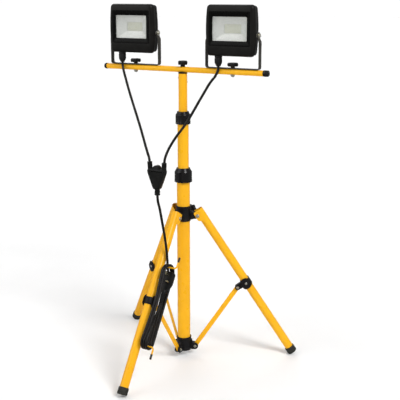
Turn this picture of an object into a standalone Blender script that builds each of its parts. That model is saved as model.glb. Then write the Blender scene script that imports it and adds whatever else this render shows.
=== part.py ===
"""Twin-head LED work light on a folding telescopic tripod.

Frame: metres, +Z up, origin on the floor below the mast's axis, +X along the crossbar.
The lamps face -Y, and one of the three legs points along -Y.
"""

import math

import bmesh
import bpy
from mathutils import Matrix, Vector

MM = 0.001
GAP = 0.3 * MM

# Mast
MAIN_R = 19 * MM
MAIN_WALL = 1.5 * MM
MAIN_LOW, MAIN_HIGH = 0.0238, 0.5615
MID_R = 16 * MM
MID_WALL = 1.2 * MM
MID_LOW, MID_HIGH = 0.210, 0.7280
TOP_R = 12.5 * MM
TOP_WALL = 1.2 * MM
TOP_LOW, TOP_HIGH = 0.353, 0.853
MAST_SIDES = 24

# Lock collars
LOWER_LOCK = (0.541, 0.582)
UPPER_LOCK = (0.710, 0.746)

# Tripod
LEG_AZIMUTHS = {"front": -90.0, "right": 30.0, "left": 150.0}
LEG_PIVOT = (0.0411, 0.4398)  # radius from the mast's axis, height
LEG_ANGLE = math.radians(32.65)  # from the vertical
LEG_R = 12.5 * MM
LEG_WALL = 1.5 * MM
LEG_EAR = 12.8 * MM  # half the width over the pressed ears
LEG_OFFSET = 11.5 * MM  # the tube's axis lies this far outside its pivot
LEG_LENGTH = 0.5205
LEG_HEAD = 14 * MM  # the tube above its pivot
EAR_DROP = 21.5 * MM  # the pressed ears below the pivot
EAR_REACH = 18 * MM  # from the tube's axis to the ears' inner edge
FOOT_R = 14.7 * MM
FOOT_HEIGHT = 21 * MM
BRACE_PIVOT = (0.0335, 0.0285)
BRACE_WIDTH = 14 * MM
BRACE_THICK = 2.5 * MM
BRACKET_DROP = 0.2535  # from the leg's pivot to its brace bracket, along the leg
BRACKET_ARM = 31 * MM  # from the tube's axis to the brace's upper pivot
BRACKET_DISC = 17.5 * MM
BRACKET_END = 8 * MM
BRACKET_HALF = LEG_R + GAP + 2 * MM
COLLAR_R = 21.5 * MM
COLLAR_SPAN = (0.424, 0.469)
KNOB_BOSS_Z = 0.4475
BASE_R = 22.8 * MM
BASE_SPAN = (0.019, 0.060)

# Crossbar and lamps
BAR_R = 8 * MM
BAR_WALL = 1.5 * MM
BAR_Z = 0.8644
BAR_END = 0.2594
BAR_CAP = 8 * MM
LAMP_X = 0.159
STUD_R = 3 * MM
HOLE_R = 3.3 * MM
STRAP_THICK = 2.5 * MM
STRAP_WIDTH = 14 * MM
STRAP_X = 0.0815
STRAP_TOP_X = 0.0770
TILT_Z = 0.9635
HEAD_LOW, HEAD_HIGH = -0.0565, 0.0805  # from the tilt axis
HEAD_MID_X, HEAD_END_X = 0.075, 0.0708  # half widths at mid height and at top and bottom
FACE_Y = -0.024
SEAM_Y = -0.0065
BACK_Y = 0.013
WINDOW = (0.0525, -0.0155, 0.0485)  # half width, low and high edge
GLAND = (-0.038, -0.0125)
GLAND_R = 10.5 * MM
GLAND_END = -0.0845

# Lead
LEAD_R = 3.65 * MM
HOOK_R = 2.4 * MM
HOOK_REACH = 0.055
HOOK_DROPS = {"upper": (0.149, -1), "lower": (0.377, 1)}
HOOK_TIP = 33 * MM
HANK_LOOP = 22.5 * MM
HANK_X = (0.0178, 0.0404)
SPLITTER = Vector((-0.0098, -0.125, 0.5246))
SPLITTER_THICK = 18 * MM
PLUG_X = 0.0315
PLUG_SPAN = (0.160, 0.213)
PLUG_DEPTH = (-0.017, -0.0005)
RELIEF_END = 0.2515

LEAD_LEFT = [
    (-0.197, -0.0125, 0.8780), (-0.197, -0.0126, 0.8725), (-0.1953, -0.0137, 0.864), (-0.1895, -0.0177, 0.851),
    (-0.177, -0.0263, 0.831), (-0.152, -0.0435, 0.792), (-0.0906, -0.0859, 0.708),
    (-0.062, -0.1056, 0.664), (-0.046, -0.1168, 0.640), (-0.0370, -0.1230, 0.6290),
    (-0.0338, -0.125, 0.6201)]
LEAD_RIGHT = [
    (0.121, -0.0125, 0.8780), (0.121, -0.0126, 0.8725), (0.1194, -0.0142, 0.864), (0.1138, -0.0201, 0.850),
    (0.1035, -0.0309, 0.832), (0.0865, -0.0488, 0.793), (0.0592, -0.0775, 0.7294),
    (0.036, -0.1019, 0.686), (0.0224, -0.1163, 0.655), (0.0156, -0.1234, 0.632),
    (0.0142, -0.125, 0.6201)]
LEAD_MAIN = [
    (-0.0098, -0.125, 0.5240), (-0.0086, -0.125, 0.508), (-0.002, -0.1252, 0.484),
    (0.0062, -0.1253, 0.443), (0.0136, -0.1252, 0.404), (0.0186, -0.125, 0.368),
    (0.0215, -0.1250, 0.3314)]


def clear_scene():
    for thing in list(bpy.data.objects):
        bpy.data.objects.remove(thing)


def finish(name, colour, roughness, metallic=0.0):
    made = bpy.data.materials.new(name)
    made.use_nodes = True
    shader = made.node_tree.nodes["Principled BSDF"]
    shader.inputs["Base Color"].default_value = (*colour, 1.0)
    shader.inputs["Roughness"].default_value = roughness
    shader.inputs["Metallic"].default_value = metallic
    made.diffuse_color = (*colour, 1.0)
    return made


def empty(name, place, parent=None, turn=(0, 0, 0)):
    made = bpy.data.objects.new(name, None)
    made.location = place
    made.rotation_euler = turn
    made.parent = parent
    bpy.context.scene.collection.objects.link(made)
    return made


def piece(name, bm, material, parent=None):
    """An object from a bmesh, shaded smooth except at its sharp edges."""
    bmesh.ops.remove_doubles(bm, verts=bm.verts, dist=1e-6)
    bmesh.ops.recalc_face_normals(bm, faces=bm.faces)
    mesh = bpy.data.meshes.new(name)
    bm.to_mesh(mesh)
    bm.free()
    mesh.shade_smooth()
    mesh.set_sharp_from_angle(angle=math.radians(35))
    mesh.materials.append(material)
    made = bpy.data.objects.new(name, mesh)
    made.parent = parent
    bpy.context.scene.collection.objects.link(made)
    return made


def combine(target, bm, operation):
    """Adds a bmesh to an object, or cuts it out, with a Boolean."""
    helper = piece(f"{target.name}_{operation.lower()}", bm, STEEL, target.parent)
    helper.hide_render = True
    helper.display_type = "WIRE"
    boolean = target.modifiers.new("boolean", "BOOLEAN")
    boolean.operation = operation
    boolean.object = helper


def cut(target, bm):
    combine(target, bm, "DIFFERENCE")


def unite(target, bm):
    combine(target, bm, "UNION")


def along(start, end):
    """The matrix that lays +Z from start towards end."""
    way = Vector(end) - Vector(start)
    return Matrix.Translation(start) @ way.to_track_quat("Z", "Y").to_matrix().to_4x4()


def rod(start, end, radius, sides=16, end_radius=None):
    bm = bmesh.new()
    length = (Vector(end) - Vector(start)).length
    tip = radius if end_radius is None else end_radius
    bmesh.ops.create_cone(
        bm, cap_ends=True, segments=sides, radius1=radius, radius2=tip, depth=length)
    bmesh.ops.translate(bm, verts=bm.verts, vec=(0, 0, length / 2))
    bmesh.ops.transform(bm, matrix=along(start, end), verts=bm.verts)
    return bm


def block(low, high):
    bm = bmesh.new()
    bmesh.ops.create_cube(bm, size=1.0)
    size = Vector(high) - Vector(low)
    bmesh.ops.scale(bm, vec=size, verts=bm.verts)
    bmesh.ops.translate(bm, vec=Vector(low) + size / 2, verts=bm.verts)
    return bm


def turned(profile, sides=MAST_SIDES, hollow=False):
    """A profile of (radius, z) spun about Z; hollow joins its ends, else they lie on the axis."""
    bm = bmesh.new()
    points = [bm.verts.new((r, 0, z)) for r, z in profile]
    edges = [bm.edges.new(pair) for pair in zip(points, points[1:])]
    if hollow:
        edges.append(bm.edges.new((points[-1], points[0])))
    bmesh.ops.spin(
        bm, geom=points + edges, cent=(0, 0, 0), axis=(0, 0, 1),
        angle=math.tau, steps=sides, use_merge=True)
    return bm


def sleeve(radius, wall, low, high, sides=MAST_SIDES):
    inner = radius - wall
    return turned([(radius, low), (radius, high), (inner, high), (inner, low)], sides, True)


def slab(outline, low, high):
    """An outline of (x, z) points pushed along Y from low to high."""
    bm = bmesh.new()
    face = bm.faces.new([bm.verts.new((x, low, z)) for x, z in outline])
    pushed = bmesh.ops.extrude_face_region(bm, geom=[face])["geom"]
    ends = [v for v in pushed if isinstance(v, bmesh.types.BMVert)]
    bmesh.ops.translate(bm, verts=ends, vec=(0, high - low, 0))
    return bm


def arc(centre, radius, start, end, steps):
    """Points on a circle between two angles in degrees."""
    angles = [math.radians(start + (end - start) * i / steps) for i in range(steps + 1)]
    return [(centre[0] + radius * math.cos(a), centre[1] + radius * math.sin(a)) for a in angles]


def lofted(rings):
    """A closed skin over rings of points that match one to one."""
    bm = bmesh.new()
    loops = [[bm.verts.new(p) for p in ring] for ring in rings]
    for low, high in zip(loops, loops[1:]):
        for i in range(len(low)):
            j = (i + 1) % len(low)
            bm.faces.new((low[i], low[j], high[j], high[i]))
    bm.faces.new(loops[0][::-1])
    bm.faces.new(loops[-1])
    return bm


def knob_head(sections, lobes=6, sides=36):
    """A lobed grip about Z from sections of (z, radius, lobe depth)."""
    rings = []
    for z, radius, depth in sections:
        ring = []
        for i in range(sides):
            a = math.tau * i / sides
            r = radius - depth * (0.5 - 0.5 * math.cos(lobes * a))
            ring.append((r * math.cos(a), r * math.sin(a), z))
        rings.append(ring)
    return lofted(rings)


def smooth_route(points, spacing):
    """Points about spacing apart on a Catmull-Rom curve through the given ones."""
    p = [Vector(v) for v in points]
    p = [2 * p[0] - p[1]] + p + [2 * p[-1] - p[-2]]
    fine = []
    for a, b, c, d in zip(p, p[1:], p[2:], p[3:]):
        for i in range(20):
            t = i / 20
            fine.append(0.5 * (2 * b + (c - a) * t + (2 * a - 5 * b + 4 * c - d) * t**2
                               + (3 * b - a - 3 * c + d) * t**3))
    fine.append(p[-2])
    total = sum((b - a).length for a, b in zip(fine, fine[1:]))
    count = max(2, round(total / spacing))
    route, walked, target = [fine[0]], 0.0, total / count
    for a, b in zip(fine, fine[1:]):
        step = (b - a).length
        while walked + step >= target - 1e-9 and len(route) < count:
            route.append(a.lerp(b, (target - walked) / step))
            target += total / count
        walked += step
    route.append(fine[-1])
    return route


def cord(name, points, parent=None, radius=LEAD_R, spacing=18 * MM, resolution=2):
    curve = bpy.data.curves.new(name, "CURVE")
    curve.dimensions = "3D"
    curve.bevel_depth = radius
    curve.bevel_resolution = resolution
    curve.use_fill_caps = True
    route = smooth_route(points, spacing)
    spline = curve.splines.new("POLY")
    spline.points.add(len(route) - 1)
    for point, place in zip(spline.points, route):
        point.co = (*place, 1.0)
    curve.materials.append(PVC)
    made = bpy.data.objects.new(name, curve)
    made.parent = parent
    bpy.context.scene.collection.objects.link(made)
    return made


def mast():
    piece("main_tube", sleeve(MAIN_R, MAIN_WALL, MAIN_LOW, MAIN_HIGH), PAINT)
    low, high = BASE_SPAN
    bore = MAIN_R + GAP
    floor = MAIN_LOW - GAP
    base = piece("base_collar", turned([
        (0, low), (BASE_R, low), (BASE_R, high - 1 * MM), (BASE_R - 1 * MM, high),
        (bore, high), (bore, floor), (0, floor)]), PLASTIC)
    radius, height = BRACE_PIVOT
    for azimuth in LEG_AZIMUTHS.values():
        lug = block((BASE_R - 3 * MM, -8 * MM, 0.0185), (0.0405, 8 * MM, 0.040))
        unite(base, spun(lug, azimuth))
    for azimuth in LEG_AZIMUTHS.values():
        cut(base, spun(block((BASE_R + 1.7 * MM, -2.0 * MM, 0.010), (0.045, 2.0 * MM, 0.050)), azimuth))
    for azimuth in LEG_AZIMUTHS.values():
        pin = rod((radius, -6 * MM, height), (radius, 6 * MM, height), 2.2 * MM, 12)
        unite(base, spun(pin, azimuth))


def spun(bm, azimuth):
    """The bmesh turned about the mast's axis from +X to an azimuth in degrees."""
    bmesh.ops.rotate(bm, verts=bm.verts, matrix=Matrix.Rotation(math.radians(azimuth), 3, "Z"))
    return bm


def lock_collars(mid):
    low, high = LOWER_LOCK
    step = MAIN_HIGH + 0.7 * MM
    piece("lower_lock_sleeve", turned([
        (22 * MM, low + 4 * MM), (22 * MM, 0.569), (MID_R + GAP, 0.569),
        (MID_R + GAP, step), (MAIN_R + GAP, step), (MAIN_R + GAP, low + 4 * MM)],
        hollow=True), PLASTIC)
    inner = 22.4 * MM
    lip = MID_R + 0.5 * MM
    turn = empty("lower_lock_turn", (0, 0, 0))
    piece("lower_lock_collar", turned([
        (24.6 * MM, low), (25.75 * MM, low + 2 * MM), (25.75 * MM, 0.571),
        (20.5 * MM, 0.5775), (19.5 * MM, high), (lip, high), (lip, 0.5694),
        (inner, 0.5694), (inner, low)], hollow=True), GLOSS, turn)
    low, high = UPPER_LOCK
    step = MID_HIGH + 0.5 * MM
    piece("upper_lock_sleeve", turned([
        (18.85 * MM, low + 3 * MM), (18.85 * MM, 0.735), (TOP_R + GAP, 0.735),
        (TOP_R + GAP, step), (MID_R + GAP, step), (MID_R + GAP, low + 3 * MM)],
        hollow=True), PLASTIC, mid)
    inner = 19.25 * MM
    lip = TOP_R + 0.5 * MM
    turn = empty("upper_lock_turn", (0, 0, 0), mid)
    piece("upper_lock_collar", turned([
        (20.4 * MM, low), (21.5 * MM, low + 2 * MM), (21.5 * MM, 0.737),
        (17.3 * MM, 0.7415), (16.5 * MM, high), (lip, high), (lip, 0.7354),
        (inner, 0.7354), (inner, low)], hollow=True), GLOSS, turn)


def upper_tubes(mid, top):
    piece("mid_tube", sleeve(MID_R, MID_WALL, MID_LOW, MID_HIGH), PAINT, mid)
    piece("top_tube", sleeve(TOP_R, TOP_WALL, TOP_LOW, TOP_HIGH), PAINT, top)
    spigot = TOP_R - TOP_WALL - GAP
    high = BAR_Z - BAR_R - GAP
    piece("top_plug", turned([
        (HOLE_R, 0.828), (spigot, 0.828), (spigot, TOP_HIGH + GAP), (13 * MM, TOP_HIGH + GAP),
        (13 * MM, high - 1 * MM), (12 * MM, high), (HOLE_R, high)], hollow=True), PLASTIC, top)


def crossbar(bar):
    tube = sleeve(BAR_R, BAR_WALL, -BAR_END, BAR_END, 20)
    lay = Matrix.Translation((0, 0, BAR_Z)) @ Matrix.Rotation(math.pi / 2, 4, "Y")
    bmesh.ops.transform(tube, matrix=lay, verts=tube.verts)
    made = piece("crossbar", tube, PAINT, bar)
    for x in (-LAMP_X, 0, LAMP_X):
        cut(made, rod((x, 0, BAR_Z - 12 * MM), (x, 0, BAR_Z + 12 * MM), HOLE_R, 12))
    spigot = BAR_R - BAR_WALL - GAP
    for name, side in (("left", -1), ("right", 1)):
        cap = turned([
            (0, -12 * MM), (spigot, -12 * MM), (spigot, GAP), (8.6 * MM, GAP),
            (8.6 * MM, BAR_CAP - 3 * MM), (7.4 * MM, BAR_CAP - 1 * MM),
            (5 * MM, BAR_CAP), (0, BAR_CAP)], 20)
        lay = Matrix.Translation((side * BAR_END, 0, BAR_Z)) @ Matrix.Rotation(
            side * math.pi / 2, 4, "Y")
        bmesh.ops.transform(cap, matrix=lay, verts=cap.verts)
        piece(f"bar_cap_{name}", cap, PLASTIC, bar)
        low = BAR_Z - BAR_R - GAP
        bolt = turned([
            (0, low - 6 * MM), (3 * MM, low - 5.4 * MM), (5.2 * MM, low - 3 * MM),
            (6 * MM, low), (STUD_R, low), (STUD_R, 0.8845), (0, 0.8845)], 16)
        bmesh.ops.translate(bolt, verts=bolt.verts, vec=(side * LAMP_X, 0, 0))
        piece(f"lamp_bolt_{name}", bolt, STEEL, bar)


def centre_knob(bar):
    turn = empty("centre_knob_turn", (0, 0, 0), bar)
    foot = BAR_Z + BAR_R + GAP
    made = piece("centre_knob", knob_head([
        (foot, 6.5 * MM, 0), (0.8768, 6.5 * MM, 0), (0.8773, 13.2 * MM, 2.4 * MM),
        (0.8790, 14.6 * MM, 2.6 * MM), (0.8865, 14.6 * MM, 2.6 * MM),
        (0.8888, 12.8 * MM, 2.2 * MM)]), PLASTIC, turn)
    unite(made, rod((0, 0, 0.832), (0, 0, 0.882), STUD_R, 16))


def lamp(name, side, bar):
    """One lamp: its strap bracket, knob and head."""
    x = side * LAMP_X
    pan = empty(f"{name}_pan", (x, 0, 0), bar)
    strap(name, pan)
    turn = empty(f"{name}_knob_turn", (x, 0, 0), bar)
    foot = BAR_Z + BAR_R + STRAP_THICK + 2 * GAP
    knob = piece(f"lamp_knob_{name}", knob_head([
        (foot, 7 * MM, 0), (0.8785, 7 * MM, 0), (0.8790, 14.6 * MM, 2.4 * MM),
        (0.8806, 16.2 * MM, 2.8 * MM), (0.8870, 16.2 * MM, 2.8 * MM),
        (0.8892, 14.2 * MM, 2.4 * MM)]), PLASTIC, turn)
    cut(knob, rod((0, 0, foot - 2 * MM), (0, 0, 0.8848), HOLE_R, 16))
    tilt = empty(f"{name}_tilt", (0, 0, TILT_Z), pan)
    head(name, tilt)


def strap(name, pan):
    """A flat strap bent to a U, its arms' tops set inwards to the tilt screws."""
    low = BAR_Z + BAR_R + GAP
    half = STRAP_THICK / 2
    bend = 5 * MM
    outer = arc((STRAP_X + half - bend, low + bend), bend, -90, 0, 3)
    inner = arc((STRAP_X + half - bend, low + bend), bend - STRAP_THICK, 0, -90, 3)
    top = TILT_Z + 8.5 * MM
    rise = [(STRAP_X + half, 0.9475), (STRAP_TOP_X + half, 0.9555), (STRAP_TOP_X + half, top)]
    fall = [(x - STRAP_THICK, z) for x, z in reversed(rise)]
    right = outer + rise + fall + inner
    outline = right + [(-x, z) for x, z in reversed(right)]
    made = piece(f"bracket_{name}", slab(outline, -STRAP_WIDTH / 2, STRAP_WIDTH / 2), BLACK, pan)
    cut(made, rod((0, 0, low - 3 * MM), (0, 0, low + 6 * MM), HOLE_R, 16))
    cut(made, rod((-0.085, 0, TILT_Z), (0.085, 0, TILT_Z), HOLE_R, 16))


def head_outline(inset):
    """The head's outline of (x, z): sides that swell at mid height, and round corners."""
    low, high = HEAD_LOW + inset, HEAD_HIGH - inset
    mid = (low + high) / 2
    half = (high - low) / 2
    corner = 9 * MM
    side = []
    for i in range(9):
        z = mid - half + corner + (2 * half - 2 * corner) * i / 8
        swell = 1 - ((z - mid) / half) ** 2
        side.append((HEAD_END_X + (HEAD_MID_X - HEAD_END_X) * swell - inset, z))
    top_x = side[-1][0]
    turn = arc((top_x - corner, high - corner), corner, 0, 90, 5)[1:]
    right = [(x, 2 * mid - z) for x, z in reversed(turn)] + side + turn
    return right + [(-x, z) for x, z in reversed(right)]


def head(name, tilt):
    sections = [(SEAM_Y, 1.2 * MM), (-0.012, 0), (-0.0175, 0.6 * MM),
                (-0.0222, 3.6 * MM), (FACE_Y, 7.6 * MM)]
    rings = [[(x, y, z) for x, z in head_outline(inset)] for y, inset in sections]
    bezel = piece(f"front_bezel_{name}", lofted(rings), HOUSING, tilt)
    half, low, high = WINDOW
    cut(bezel, block((-half, FACE_Y - 0.01, low), (half, 0.01, high)))
    cut(bezel, block((-0.0655, FACE_Y + 3 * MM, -0.0495), (0.0655, 0.01, 0.0735)))
    rim = 4.5 * MM
    front = FACE_Y + 3 * MM + GAP
    piece(f"glass_{name}", block(
        (-half - rim, front, low - rim), (half + rim, front + 3 * MM, high + rim)), GLASS, tilt)
    reflector(name, tilt, front + 3 * MM + GAP)
    middle = (low + high) / 2
    piece(f"led_board_{name}", block(
        (-0.034, -0.0021, middle - 0.0175), (0.034, 0, middle + 0.0175)), BOARD, tilt)
    shell = [(SEAM_Y + GAP, 2.6 * MM), (0.004, 2.6 * MM), (0.0105, 4.0 * MM), (BACK_Y, 7 * MM)]
    rings = [[(x, y, z) for x, z in head_outline(inset)] for y, inset in shell]
    rear = piece(f"rear_shell_{name}", lofted(rings), HOUSING, tilt)
    cut(rear, block((-0.0655, -0.02, -0.0495), (0.0655, GAP, 0.0735)))
    for i in range(13):
        x = (i - 6) * 9.6 * MM
        low, high = (x - 3.4 * MM, 0.0036, -0.043), (x + 3.4 * MM, BACK_Y + 5 * MM, 0.067)
        cut(rear, block(low, high))
    for side in (-1, 1):
        cut(rear, rod((side * 0.0672, 0, 0), (side * 0.09, 0, 0), HOLE_R, 16))
        screw = turned([
            (0, 0.0675), (STUD_R, 0.0675), (STUD_R, 0.0727), (6 * MM, 0.0727),
            (4.8 * MM, 0.0754), (STUD_R, 0.0754), (STUD_R, 0.0786), (5.6 * MM, 0.0786),
            (5.6 * MM, 0.0811), (4.4 * MM, 0.0821), (0, 0.0821)], 16)
        lay = Matrix.Rotation(side * math.pi / 2, 4, "Y")
        bmesh.ops.transform(screw, matrix=lay, verts=screw.verts)
        piece(f"tilt_screw_{name}_{'left' if side < 0 else 'right'}", screw, STEEL, tilt)
    gland = turned([
        (0, HEAD_LOW - GAP), (GLAND_R, HEAD_LOW - GAP), (GLAND_R, -0.0745),
        (GLAND_R - 1.5 * MM, -0.0780), (6.2 * MM, GLAND_END + 1 * MM), (5.4 * MM, GLAND_END), (0, GLAND_END)], 16)
    bmesh.ops.translate(gland, verts=gland.verts, vec=(*GLAND, 0))
    piece(f"gland_{name}", gland, PLASTIC, tilt)


def reflector(name, tilt, front):
    """A sloping tray round the light-emitting field, with a thin wall and an open floor."""
    half, low, high = WINDOW
    middle = (low + high) / 2
    tall = (high - low) / 2
    back = -0.0024
    wall = 0.9 * MM

    def ring(x, z, y):
        return [(-x, y, middle - z), (x, y, middle - z), (x, y, middle + z), (-x, y, middle + z)]

    made = piece(f"reflector_{name}", lofted([
        ring(half + 3 * MM, tall + 3 * MM, front), ring(half + 3 * MM, tall + 3 * MM, front + wall),
        ring(0.0335, 0.0170, back), ]), CHROME, tilt)
    cut(made, lofted([
        ring(half + 0.5 * MM + 0.1 * MM, tall + 0.6 * MM, front - 0.1 * MM),
        ring(0.0315, 0.0150, back - 0.8 * MM), ring(0.0285, 0.0135, back - 0.8 * MM),
        ring(0.0285, 0.0135, back + 1 * MM)]))


def leg_collar(slide):
    low, high = COLLAR_SPAN
    made = piece("leg_collar", rod((0, 0, low), (0, 0, high), COLLAR_R, MAST_SIDES), PLASTIC, slide)
    radius, height = LEG_PIVOT
    near = 15 * MM
    for azimuth in LEG_AZIMUTHS.values():
        outline = [(near, height - 9.5 * MM), (radius, height - 9 * MM)]
        outline += arc((radius, height), 9 * MM, -60, 60, 4)
        outline += [(radius, height + 9 * MM), (near, height + 9.5 * MM)]
        unite(made, spun(slab(outline, -10.3 * MM, 10.3 * MM), azimuth))
    unite(made, rod((0, near, KNOB_BOSS_Z), (0, 0.0365, KNOB_BOSS_Z), 7.5 * MM, 20))
    cut(made, rod((0, 0, low - 5 * MM), (0, 0, high + 5 * MM), MAIN_R + GAP, MAST_SIDES))
    for azimuth in LEG_AZIMUTHS.values():
        hole = rod((radius, -12 * MM, height), (radius, 12 * MM, height), HOLE_R, 12)
        cut(made, spun(hole, azimuth))
    cut(made, rod((0, 0.015, KNOB_BOSS_Z), (0, 0.042, KNOB_BOSS_Z), HOLE_R, 12))
    turn = empty("collar_knob_turn", (0, 0, KNOB_BOSS_Z), slide, (-math.pi / 2, 0, 0))
    knob = piece("collar_knob", knob_head([
        (0.0368, 7 * MM, 0), (0.0400, 7 * MM, 0), (0.0405, 14.4 * MM, 2.4 * MM),
        (0.0420, 15.6 * MM, 2.8 * MM), (0.0495, 15.2 * MM, 2.8 * MM),
        (0.0540, 11.6 * MM, 1.6 * MM)]), PLASTIC, turn)
    unite(knob, rod((0, 0, MAIN_R + GAP), (0, 0, 0.0455), STUD_R, 16))


def leg(name, azimuth, slide):
    """A leg in its own straight frame: pivot at the origin, +X outwards, +Z up the tube."""
    a = math.radians(azimuth)
    place = (LEG_PIVOT[0] * math.cos(a), LEG_PIVOT[0] * math.sin(a), LEG_PIVOT[1])
    pivot = empty(f"leg_{name}_pivot", place, slide, (0, -LEG_ANGLE, a))
    low = -LEG_LENGTH + 2.5 * MM
    tube = piece(f"leg_{name}", rod(
        (LEG_OFFSET, 0, low), (LEG_OFFSET, 0, LEG_HEAD - 5 * MM), LEG_R, MAST_SIDES), PAINT, pivot)
    unite(tube, ears(LEG_EAR, LEG_OFFSET - EAR_REACH, -EAR_DROP, LEG_HEAD))
    bore = LEG_R - LEG_WALL
    cut(tube, rod((LEG_OFFSET, 0, low - 5 * MM), (LEG_OFFSET, 0, LEG_HEAD + 5 * MM), bore, MAST_SIDES))
    cut(tube, ears(bore - 0.4 * MM, -0.03, -EAR_DROP - 0.5 * MM, LEG_HEAD + 5 * MM))
    cut(tube, rod((0, -0.02, 0), (0, 0.02, 0), HOLE_R, 12))
    shank = LEG_EAR + GAP
    bolt = turned([
        (0, -shank - 3 * MM), (4.2 * MM, -shank - 3 * MM), (5.2 * MM, -shank - 1.5 * MM),
        (5.2 * MM, -shank), (2.9 * MM, -shank), (2.9 * MM, shank), (5.2 * MM, shank),
        (5.2 * MM, shank + 1.5 * MM), (4.2 * MM, shank + 3 * MM), (0, shank + 3 * MM)], 12)
    bmesh.ops.rotate(bolt, verts=bolt.verts, matrix=Matrix.Rotation(math.pi / 2, 3, "X"))
    piece(f"leg_bolt_{name}", bolt, STEEL, pivot)
    end = -LEG_LENGTH
    foot = turned([
        (0, end), (FOOT_R - 1 * MM, end), (FOOT_R, end + 1 * MM),
        (FOOT_R, end + FOOT_HEIGHT - 1 * MM), (FOOT_R - 0.8 * MM, end + FOOT_HEIGHT),
        (LEG_R + GAP, end + FOOT_HEIGHT), (LEG_R + GAP, low - GAP), (0, low - GAP)])
    bmesh.ops.translate(foot, verts=foot.verts, vec=(LEG_OFFSET, 0, 0))
    piece(f"foot_{name}", foot, RUBBER, pivot)
    brace_bracket(name, pivot)
    return pivot


def ears(radius, inner, low, high):
    """A block with a round back, open or closed towards the mast, that the tube's top is pressed to."""
    outline = [(LEG_OFFSET + x, y) for x, y in arc((0, 0), radius, -90, 90, 12)]
    outline += [(inner, radius), (inner, -radius)]
    bm = bmesh.new()
    face = bm.faces.new([bm.verts.new((x, y, low)) for x, y in outline])
    pushed = bmesh.ops.extrude_face_region(bm, geom=[face])["geom"]
    tops = [v for v in pushed if isinstance(v, bmesh.types.BMVert)]
    bmesh.ops.translate(bm, verts=tops, vec=(0, 0, high - low))
    return bm


def brace_bracket(name, pivot):
    """A moulded clamp round the leg, with a slotted arm that reaches in to the brace."""
    disc = (LEG_OFFSET - 3 * MM, -BRACKET_DROP)
    tip = (LEG_OFFSET - BRACKET_ARM, -BRACKET_DROP)
    outer = LEG_OFFSET + BRACKET_HALF
    bite = math.degrees(math.asin(BRACKET_END / BRACKET_DISC))
    outline = [(outer, disc[1] - 10.4 * MM), (outer, disc[1] + 10.4 * MM)]
    outline += arc(disc, BRACKET_DISC, 52, 180 - bite, 6)
    outline += arc(tip, BRACKET_END, 90, 270, 8)
    outline += arc(disc, BRACKET_DISC, 180 + bite, 308, 6)
    made = piece(f"brace_bracket_{name}", slab(outline, -BRACKET_HALF, BRACKET_HALF), PLASTIC, pivot)
    low, high = disc[1] - 0.03, disc[1] + 0.03
    cut(made, rod((LEG_OFFSET, 0, low), (LEG_OFFSET, 0, high), LEG_R + GAP, MAST_SIDES))
    back = LEG_OFFSET - LEG_R - 3.5 * MM
    for side in (-1, 1):
        near, far = sorted((side * 7 * MM, side * 20 * MM))
        cut(made, block((-0.05, near, low), (back, far, high)))
    cut(made, block((-0.05, -1.9 * MM, low), (back - 1 * MM, 1.9 * MM, high)))


def brace(name, azimuth):
    """A flat strip in its own straight frame: lower pivot at the origin, +Z along the strip."""
    a = math.radians(azimuth)
    radius, height = BRACE_PIVOT
    top_x = LEG_PIVOT[0] + (LEG_OFFSET - BRACKET_ARM) * math.cos(LEG_ANGLE)
    top_x += BRACKET_DROP * math.sin(LEG_ANGLE)
    top_z = LEG_PIVOT[1] + (LEG_OFFSET - BRACKET_ARM) * math.sin(LEG_ANGLE)
    top_z -= BRACKET_DROP * math.cos(LEG_ANGLE)
    length = math.hypot(top_x - radius, top_z - height)
    lean = math.atan2(top_x - radius, top_z - height)
    place = (radius * math.cos(a), radius * math.sin(a), height)
    pivot = empty(f"brace_{name}_pivot", place, None, (0, lean, a))
    half = BRACE_WIDTH / 2
    outline = arc((0, 0), half, 180, 360, 8) + arc((0, length), half, 0, 180, 8)
    made = piece(f"brace_{name}", slab(outline, -BRACE_THICK / 2, BRACE_THICK / 2), PAINT, pivot)
    cut(made, rod((0, -0.01, 0), (0, 0.01, 0), 2.6 * MM, 16))


def hook(name, drop, way, pivot):
    """A wire hook on the front leg: out from the tube, then along it."""
    bend = 7 * MM
    z = -drop
    points = [Vector((LEG_OFFSET, LEG_R + GAP, z)), Vector((LEG_OFFSET, HOOK_REACH - bend, z))]
    for i in range(1, 5):
        a = math.pi / 2 * i / 4
        side = HOOK_REACH - bend + bend * math.sin(a)
        points.append(Vector((LEG_OFFSET, side, z - way * bend * (1 - math.cos(a)))))
    points.append(Vector((LEG_OFFSET, HOOK_REACH, z - way * HOOK_TIP)))
    curve = bpy.data.curves.new(name, "CURVE")
    curve.dimensions = "3D"
    curve.bevel_depth = HOOK_R
    curve.bevel_resolution = 2
    curve.use_fill_caps = True
    spline = curve.splines.new("POLY")
    spline.points.add(len(points) - 1)
    for point, place in zip(spline.points, points):
        point.co = (*place, 1.0)
    curve.materials.append(PAINT)
    made = bpy.data.objects.new(name, curve)
    made.parent = pivot
    bpy.context.scene.collection.objects.link(made)


def hank(pivot):
    """The wound lead's outer shape: loops round both hooks, and the run that ends at the plug."""
    apex = HOOK_R + GAP + LEAD_R
    top = -HOOK_DROPS["upper"][0] + apex - HANK_LOOP
    bottom = -HOOK_DROPS["lower"][0] - apex + HANK_LOOP

    def oval(radius):
        centre_x = LEG_OFFSET
        return (arc((centre_x, top), radius, 0, 180, 12) + arc((centre_x, bottom), radius, 180, 360, 12))

    made = piece("cord_hank", slab(oval(HANK_LOOP + LEAD_R), *HANK_X), PVC, pivot)
    cut(made, slab(oval(HANK_LOOP - LEAD_R), HANK_X[0] - 5 * MM, HANK_X[1] + 5 * MM))
    middle = sum(PLUG_DEPTH) / 2
    start = (LEG_OFFSET + middle, PLUG_X, -RELIEF_END - 1 * MM)
    end = (LEG_OFFSET + HANK_LOOP - 2 * MM, HANK_X[1] - 3.5 * MM, bottom + 10 * MM)
    unite(made, rod(start, end, LEAD_R, 12))


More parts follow.
